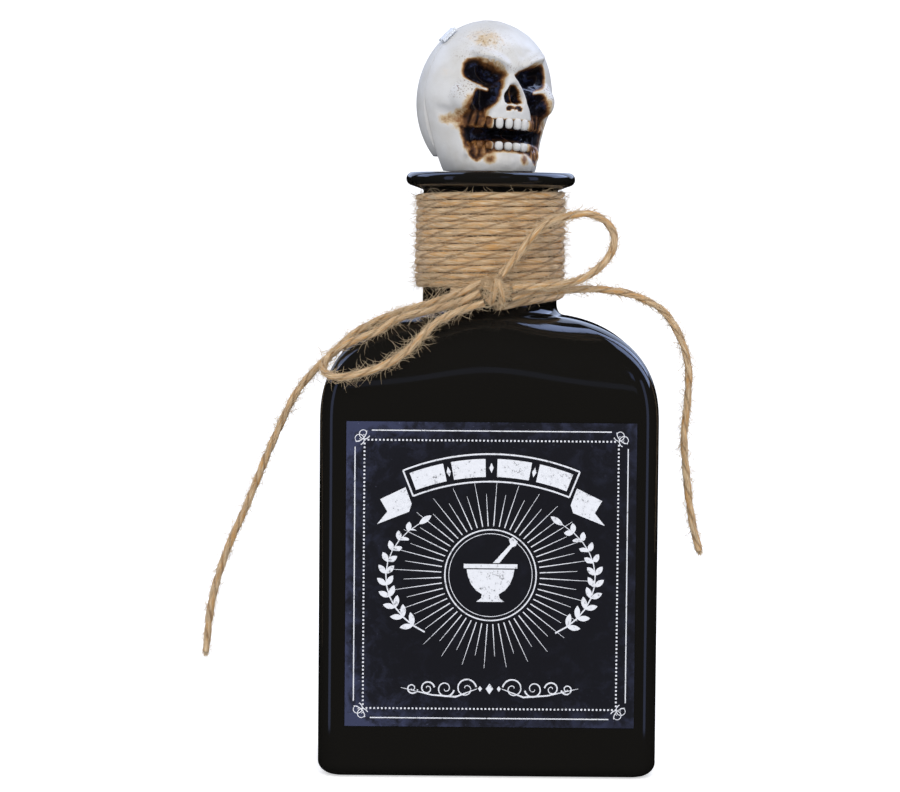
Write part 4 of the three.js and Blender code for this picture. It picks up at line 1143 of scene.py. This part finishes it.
def mirrored(points, u=-1, v=1):
    return [(u * a, v * b) for a, b in points]


def border_strokes():
    """A fine line broken at the corners, and a scroll in each corner."""
    strokes = []
    (right, top), gap = BORDER_HALVES, 4.6
    for side in (-1, 1):
        strokes.append(([(side * right, -top + gap), (side * right, top - gap)], 0.34))
        strokes.append(([(-right + gap, side * top), (right - gap, side * top)], 0.34))
    for u in (-1, 1):
        for v in (-1, 1):
            for flip, centre, start in ((1, (35.2, 38.9), 200), (-1, (36.6, 37.4), 250)):
                curl = scroll(centre, 1.5, start, 1.3, flip)
                strokes.append((mirrored(curl, u, v), np.linspace(0.3, 0.16, len(curl))))
            strokes.append((mirrored(arc(BORDER_HALVES, 3.2, 182, 268, 12), u, v), 0.26))
    return strokes


def border_dots():
    """The dotted line inside the border, as small squares."""
    right, top, pitch, half = 35.0, 37.2, 1.05, 0.24
    fills = []
    for along, across in ((right, top), (top, right)):
        for place in np.linspace(-along, along, int(2 * along / pitch) + 1)[:-1]:
            for side in (-1, 1):
                u, v = (side * place, side * across) if along == right else (side * across, -side * place)
                fills.append([(u + a * half, v + b * half) for a, b in ((-1, -1), (1, -1), (1, 1), (-1, 1))])
    return fills


def ray_strokes():
    """Fine rays all round the medallion, in turn long and short."""
    strokes, count = [], 56
    for i in range(count):
        turn = 2 * math.pi * (i + 0.5) / count
        inner, outer = 13.6, (27.5 if i % 2 else 24.0)
        start = (inner * math.cos(turn), inner * math.sin(turn))
        end = (outer * math.cos(turn), outer * math.sin(turn) * 0.94)
        strokes.append(([start, end], [0.34, 0.12]))
    return strokes


def medallion():
    """A mortar and pestle inside two rings."""
    strokes = [(arc((0, 0), 12.6, 0, 360, 90), 0.42), (arc((0, 0), 11.5, 0, 360, 90), 0.2)]
    side = [(-6.6, 1.6), (-6.2, -0.4), (-5.3, -2.6), (-4.0, -4.2), (-2.3, -5.3), (-2.6, -6.4), (-3.9, -7.4)]
    bowl = side + mirrored(side)[::-1]
    rim = [(-7.4, 1.9), (7.4, 1.9), (7.4, 3.1), (-7.4, 3.1)]
    pestle = [(0.6, 3.4), (5.4, 8.6), (5.0, 9.9), (6.0, 10.6), (7.4, 9.4), (6.9, 8.2), (5.9, 7.8), (2.4, 3.4)]
    strokes.append(([(-4.6, -1.2), (0, -2.1), (4.6, -1.2)], 0.01))
    return strokes, [bowl, rim, pestle]


def leaf(centre, turn, length, width):
    """A leaf's outline."""
    edge = [(length * share, width * math.sin(math.pi * share) ** 0.8) for share in np.linspace(0, 1, 9)]
    points = edge + [(u, -v) for u, v in edge[-2:0:-1]]
    cosine, sine = math.cos(turn), math.sin(turn)
    return [(centre[0] + u * cosine - v * sine, centre[1] + u * sine + v * cosine) for u, v in points]


def sprig(u):
    """A curved stem with leaves beside the medallion."""
    fills, stem = [], []
    for share in np.linspace(0, 1, 12):
        turn = math.radians(-62 + 118 * share)
        stem.append((u * (20.5 * math.cos(turn) - 0.2 + 8.6), 17.5 * math.sin(turn) - 0.5))
    for i in range(1, 12):
        ahead = Vector(stem[min(i + 1, 11)]) - Vector(stem[i - 1])
        heading = math.atan2(ahead.y, ahead.x)
        if i < 11:
            fills += [leaf(stem[i], heading + turn, 3.9 - 0.12 * i, 0.78) for turn in (-0.75, 0.75)]
        else:
            fills.append(leaf(stem[i], heading, 4.2, 0.8))
    return [(stem, np.linspace(0.5, 0.25, len(stem)))], fills


def ribbon():
    """An arched ribbon with solid bands and folded ends over the medallion."""
    top, low = arc(RIBBON_CENTRE, 65.0, 112, 68, 40), arc(RIBBON_CENTRE, 57.4, 68, 112, 40)
    end = [(23.6, 24.2), (30.6, 20.8), (28.6, 17.4), (31.4, 13.9), (22.6, 17.4), (21.9, 19.6)]
    fills = [mirrored(end, u) for u in (-1, 1)]
    for start in (110.7, 100.1, 88.5, 77.9):
        fills.append(arc(RIBBON_CENTRE, 63.7, start, start - 8.6, 12)
                     + arc(RIBBON_CENTRE, 58.7, start - 8.6, start, 12))
    for angle in (101.1, 90.0, 78.9):
        fills.append([arc(RIBBON_CENTRE, reach, angle + swing, angle, 1)[0]
                      for reach, swing in ((61.2, -0.55), (62.6, 0), (61.2, 0.55), (59.8, 0))])
    lines = (top, low, [top[0], low[-1]], [top[-1], low[0]])
    return [(line, 0.5) for line in lines], fills


def flourish():
    """Curls and diamonds along the label's foot."""
    strokes, fills = [], []
    for u in (-1, 1):
        for place, size, start, flip in ((6.5, 2.6, 170, -1), (12.2, 2.2, 190, 1),
                                         (17.2, 1.8, 170, -1), (21.4, 1.4, 190, 1)):
            curl = scroll((place, FOOT_HEIGHT), size, start, 1.4, flip)
            strokes.append((mirrored(curl, u), np.linspace(0.5, 0.2, len(curl))))
        sweep = [(3.4, FOOT_HEIGHT), (9.4, -33.9), (16, -33.4), (24.5, -31.4)]
        strokes.append((mirrored(sweep, u), [0.2, 0.55, 0.45, 0.15]))
    for place, size in ((0, 1.5), (-2.6, 0.8), (2.6, 0.8)):
        fills.append([(place + a * size * 0.7, FOOT_HEIGHT + b * size)
                      for a, b in ((-1, 0), (0, -1), (1, 0), (0, 1))])
    return strokes, fills


# Operators

class SCENE_OT_bottle_stage(bpy.types.Operator):
    """Camera at the photograph's angle, a pale round sweep and soft lights."""

    bl_idname = "bottle.make_stage"
    bl_label = "Stage"

    def execute(self, context):
        scene = context.scene
        camera = bpy.data.objects.new("camera", bpy.data.cameras.new("camera"))
        camera.data.lens, camera.data.sensor_width = 126.6, 36.0
        camera.data.clip_end = 20.0
        pitch, roll = math.radians(90 - 3.4), math.radians(0.5)
        camera.rotation_euler = (
            Matrix.Rotation(pitch, 4, "X") @ Matrix.Rotation(roll, 4, "Z")).to_euler()
        camera.location = (-0.011, -0.898, 0.1579)
        scene.collection.objects.link(camera)
        scene.camera = camera
        self.sweep(scene)
        self.lights(scene)
        world = bpy.data.worlds.new("studio")
        scene.world = world
        world.use_nodes = True
        world.node_tree.nodes.clear()
        glow = add(world.node_tree, "Background", {"Color": linear("#f2f4fa"), "Strength": 0.75})
        add(world.node_tree, "OutputWorld", {"Surface": glow})
        world.cycles_visibility.glossy = False
        scene.view_settings.view_transform = "Standard"
        return {"FINISHED"}

    def sweep(self, scene):
        """A round floor that curves up into a wall, so it is the same from every side."""
        bm = bmesh.new()
        flat, bend = 2.0, 0.6
        profile = [(0.001, 0), (0.5, 0), (1.2, 0), (flat, 0)]
        profile += [(flat + bend * math.sin(t), bend - bend * math.cos(t))
                    for t in np.radians(np.arange(7.5, 91, 7.5))]
        profile += [(flat + bend, height) for height in (1.2, 1.8)]
        made = [bm.verts.new((r, 0, h)) for r, h in profile]
        edges = [bm.edges.new(pair) for pair in zip(made, made[1:])]
        bmesh.ops.spin(bm, geom=made + edges, cent=(0, 0, 0), axis=(0, 0, 1), angle=2 * math.pi,
                       steps=72, use_merge=True)
        bmesh.ops.recalc_face_normals(bm, faces=bm.faces)
        if bm.faces[0].normal.z < 0:
            bmesh.ops.reverse_faces(bm, faces=bm.faces)
        mesh = bpy.data.meshes.new("sweep")
        bm.to_mesh(mesh)
        bm.free()
        smooth_shaded(mesh)
        floor = bpy.data.objects.new("sweep", mesh)
        scene.collection.objects.link(floor)
        mesh.materials.append(made_of(matt_paper_sweep))
        floor.visible_glossy = False
        floor.visible_diffuse = False

    def lights(self, scene):
        """A soft key for the matt pieces, and panels that only the gloss of the glass picks up."""
        boxes = (
            ("key", (0.05, -1.3, 1.0), (0, 0, 0.12), (1.1, 0.9), 12.5, "#fffaf4", "matt"),
            ("rear_panel", (0.0, 1.2, 0.75), (0, 0, 0.12), (2.2, 0.9), 10.0, "#c9d8f8", "gloss"),
            ("right_roof_panel", (0.75, 0.4, 1.05), (0, 0, 0.13), (0.9, 1.4), 20.0, "#bccdf4", "gloss"),
            ("left_roof_panel", (-0.8, 0.35, 1.0), (0, 0, 0.13), (0.6, 1.2), 8.0, "#bccdf4", "gloss"),
            ("left_panel", (-0.95, -0.55, 0.25), (0, 0, 0.08), (0.26, 0.9), 0.8, "#c4d2ff", "gloss"),
            ("right_panel", (0.95, -0.55, 0.25), (0, 0, 0.08), (0.26, 0.9), 0.8, "#c4d2ff", "gloss"),
            ("arch_panel", (0.0, -1.0, 0.4), (0, 0, 0.1), (0.7, 0.08), 0.04, "#cfdcff", "gloss"),
            ("spark_panel", (0.3, -0.85, 0.62), (0, 0, 0.19), (0.2, 0.12), 0.08, "#b9caff", "gloss"),
        )
        for name, place, aim, size, power, colour, use in boxes:
            light = bpy.data.lights.new(name, "AREA")
            light.shape = "RECTANGLE"
            light.size, light.size_y = size
            light.energy = power
            light.color = linear(colour)[:3]
            made = bpy.data.objects.new(name, light)
            made.location = place
            made.rotation_euler = (Vector(aim) - Vector(place)).to_track_quat("-Z", "Y").to_euler()
            made.visible_camera = False
            made.visible_glossy = use == "gloss"
            made.visible_diffuse = use == "matt"
            scene.collection.objects.link(made)


class SCENE_OT_bottle_bow(bpy.types.Operator):
    """The bow's two loops and two tails, each a free length of twine."""

    bl_idname = "bottle.make_bow"
    bl_label = "Bow"

    def execute(self, context):
        free_twine("twine_loop_right", RIGHT_LOOP, "bow_loop_right", 11, 1000)
        free_twine("twine_loop_left", LEFT_LOOP, "bow_loop_left", 12, 1500)
        free_twine("twine_tail_right", RIGHT_TAIL, "bow_tail_right", 13, 1300, frayed=True)
        free_twine("twine_tail_left", LEFT_TAIL, "bow_tail_left", 14, 1500, frayed=True)
        return {"FINISHED"}


class SCENE_OT_bottle_winding(bpy.types.Operator):
    """The winding round the neck, the strands that tie it, the knot and their loose fibres."""

    bl_idname = "bottle.make_winding"
    bl_label = "Winding and knot"

    def execute(self, context):
        settings = context.scene.twine
        lay = settings.lay / METRES_PER_MM
        line, frames = winding_line()
        wound = yarn(line, WOUND_RADIUS, 1.7 * lay, 14, 21, frames, squash=(0.96, 1.02), groove=0.12)
        twine_piece("twine_winding", wound, "neck_winding")
        twine_piece("twine_tie_strand", yarn(tie_line(), TIE_RADIUS, lay, 14, 22), "tie_strand")
        tie_end = yarn(curve_through(TIE_END, 0.4), TIE_END_RADIUS, lay, 14, 23)
        twine_piece("twine_tie_end", tie_end, "tie_end")
        self.knot(lay)
        self.fuzz(settings.hairs, line, frames)
        return {"FINISHED"}

    def knot(self, lay):
        """Two wraps over a lump of crossing strands."""
        x, y, z = KNOT_CENTRE
        parts = []
        for shift, lean, seed in ((-0.9, 0.28, 31), (1.0, -0.16, 32)):
            ring = []
            for turn in np.radians(np.linspace(0, 385, 60)):
                across = shift + lean * 3.0 * math.sin(turn) + 0.5 * (turn / 6.28 - 0.5)
                ring.append((x + across, y - WRAP_DEPTH * math.cos(turn), z + WRAP_HEIGHT * math.sin(turn)))
            line = evenly(np.array(ring), 0.4)
            parts.append(yarn(line, KNOT_RADII[0], lay, 14, seed, carried_frames(line, (1, 0, 0))))
        for route, seed in (([(-3.4, 0.3, 1.9), (-1, -0.4, 0.9), (1.4, -0.3, -0.4), (3.6, 0.2, -1.0)], 33),
                            ([(-3.2, -0.2, -2.0), (-0.6, 0.1, -0.7), (1.5, 0.1, 0.9), (3.6, -0.1, 1.2)], 34)):
            line = curve_through([(x + a, y + b, z + c) for a, b, c in route], 0.4)
            parts.append(yarn(line, KNOT_RADII[1], lay, 14, seed))
        twine_piece("twine_knot", joined(parts), "bow_knot")

    def fuzz(self, count, line, frames):
        """Loose fibres all round the winding, thickest at its lower left and about the knot."""
        angle = np.arctan2(line[:, 1], line[:, 0])
        low = np.clip((WINDING_BOTTOM + 5 - line[:, 2]) / 5, 0, 1)
        front_left = np.clip(np.cos(angle - math.radians(-125)), 0, 1) ** 3
        roots, outward, along = surface_roots(
            line, frames, WOUND_RADIUS * 0.95, count, 41, 1 + 3.5 * low * front_left)
        radial = unit(roots * [1, 1, 0])
        away = (outward * radial).sum(1, keepdims=True)
        outward = np.where(away < 0, outward - 2 * radial * away, outward)
        least_radius = NECK_RADIUS + 1.4
        roots = roots + radial * np.maximum(least_radius - np.linalg.norm(roots[:, :2], axis=1), 0)[:, None]
        hairs("twine_winding_fuzz", roots, unit(outward + radial), along, 42,
              reach=(1.5, 7.5), lift=0.32, curl=0.8)
        rng = np.random.default_rng(43)
        way = unit(rng.normal(0, 1, (KNOT_HAIRS, 3)) * [1, 0.6, 1] + [0, -0.8, 0])
        along = unit(np.cross(way, rng.normal(0, 1, (KNOT_HAIRS, 3))))
        hairs("twine_knot_fuzz", np.array(KNOT_CENTRE) + way * KNOT_REACH, way, along, 44,
              reach=(1.5, 6.0), lift=0.4, curl=0.7)


class SCENE_OT_bottle_glass(bpy.types.Operator):
    """The blown glass body with its arched shoulders, neck and flange lip."""

    bl_idname = "bottle.make_glass"
    bl_label = "Glass"

    def execute(self, context):
        piece("blown_glass", glass_mesh(), "bottle", made_of(blown_black_glass),
              ["glass_bottle"])
        return {"FINISHED"}


class SCENE_OT_bottle_label(bpy.types.Operator):
    """The label's film and its printed border, medallion, sprigs, ribbon and flourish."""

    bl_idname = "bottle.make_label"
    bl_label = "Label"

    def execute(self, context):
        refinish("front_label", printed_vinyl_film, LABEL_CENTRE)
        flat_print("print_border", border_strokes(), border_dots())
        flat_print("print_rays", ray_strokes(), [])
        flat_print("print_medallion", *medallion())
        flat_print("print_sprigs", *(left + right for left, right in zip(sprig(-1), sprig(1))), lift=0.03)
        flat_print("print_ribbon", *ribbon())
        flat_print("print_flourish", *flourish())
        return {"FINISHED"}


class SCENE_OT_bottle_cork(bpy.types.Operator):
    """The tapered cork and the glue bead that holds the skull on it."""

    bl_idname = "bottle.make_cork"
    bl_label = "Cork and glue"

    def execute(self, context):
        refinish("cork_plug", turned_natural_cork)
        refinish("glue_bead", hot_melt_glue)
        return {"FINISHED"}


class SCENE_OT_bottle_skull(bpy.types.Operator):
    """The sculpted skull in its two halves, and the clear tab at their seam."""

    bl_idname = "bottle.make_skull"
    bl_label = "Skull"

    def execute(self, context):
        place = head_to_bottle()
        for name, make, node, above_lip in (("sculpted_face", face_half, "skull_face", 0.3),
                                            ("cranium_back", back_half, "skull_back", 4.5)):
            bm = make()
            bmesh.ops.transform(bm, matrix=place, verts=bm.verts)
            cut_away(bm, (0, 0, BOTTLE_HEIGHT + above_lip), (0, 0, -1))
            paint_face(piece(name, bm, "stopper", made_of(painted_moulded_resin), [node]))
        refinish("seam_tab", clear_moulded_plastic)
        return {"FINISHED"}


MAKERS = (SCENE_OT_bottle_stage, SCENE_OT_bottle_bow, SCENE_OT_bottle_winding, SCENE_OT_bottle_glass,
          SCENE_OT_bottle_label, SCENE_OT_bottle_cork, SCENE_OT_bottle_skull)


class VIEW3D_PT_bottle(bpy.types.Panel):
    """Lists the settings and the operators."""

    bl_idname = "VIEW3D_PT_poison_bottle"
    bl_label = "Poison bottle"
    bl_space_type = "VIEW_3D"
    bl_region_type = "UI"
    bl_category = "Poison bottle"

    def draw(self, context):
        for group in (context.scene.twine, context.scene.bottle, context.scene.stopper):
            for key in group.bl_rna.properties.keys():
                if key not in ("rna_type", "name"):
                    self.layout.prop(group, key)
        for maker in MAKERS:
            self.layout.operator(maker.bl_idname)


CLASSES = (TwineSettings, BottleSettings, StopperSettings, *MAKERS, VIEW3D_PT_bottle)


def register():
    for kind in CLASSES:
        bpy.utils.register_class(kind)
    bpy.types.Scene.twine = PointerProperty(type=TwineSettings)
    bpy.types.Scene.bottle = PointerProperty(type=BottleSettings)
    bpy.types.Scene.stopper = PointerProperty(type=StopperSettings)


def unregister():
    del bpy.types.Scene.stopper
    del bpy.types.Scene.bottle
    del bpy.types.Scene.twine
    for kind in reversed(CLASSES):
        bpy.utils.unregister_class(kind)


def main():
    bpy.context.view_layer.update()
    register()
    for maker in MAKERS:
        group, name = maker.bl_idname.split(".")
        getattr(getattr(bpy.ops, group), name)()


if __name__ == "__main__":
    main()
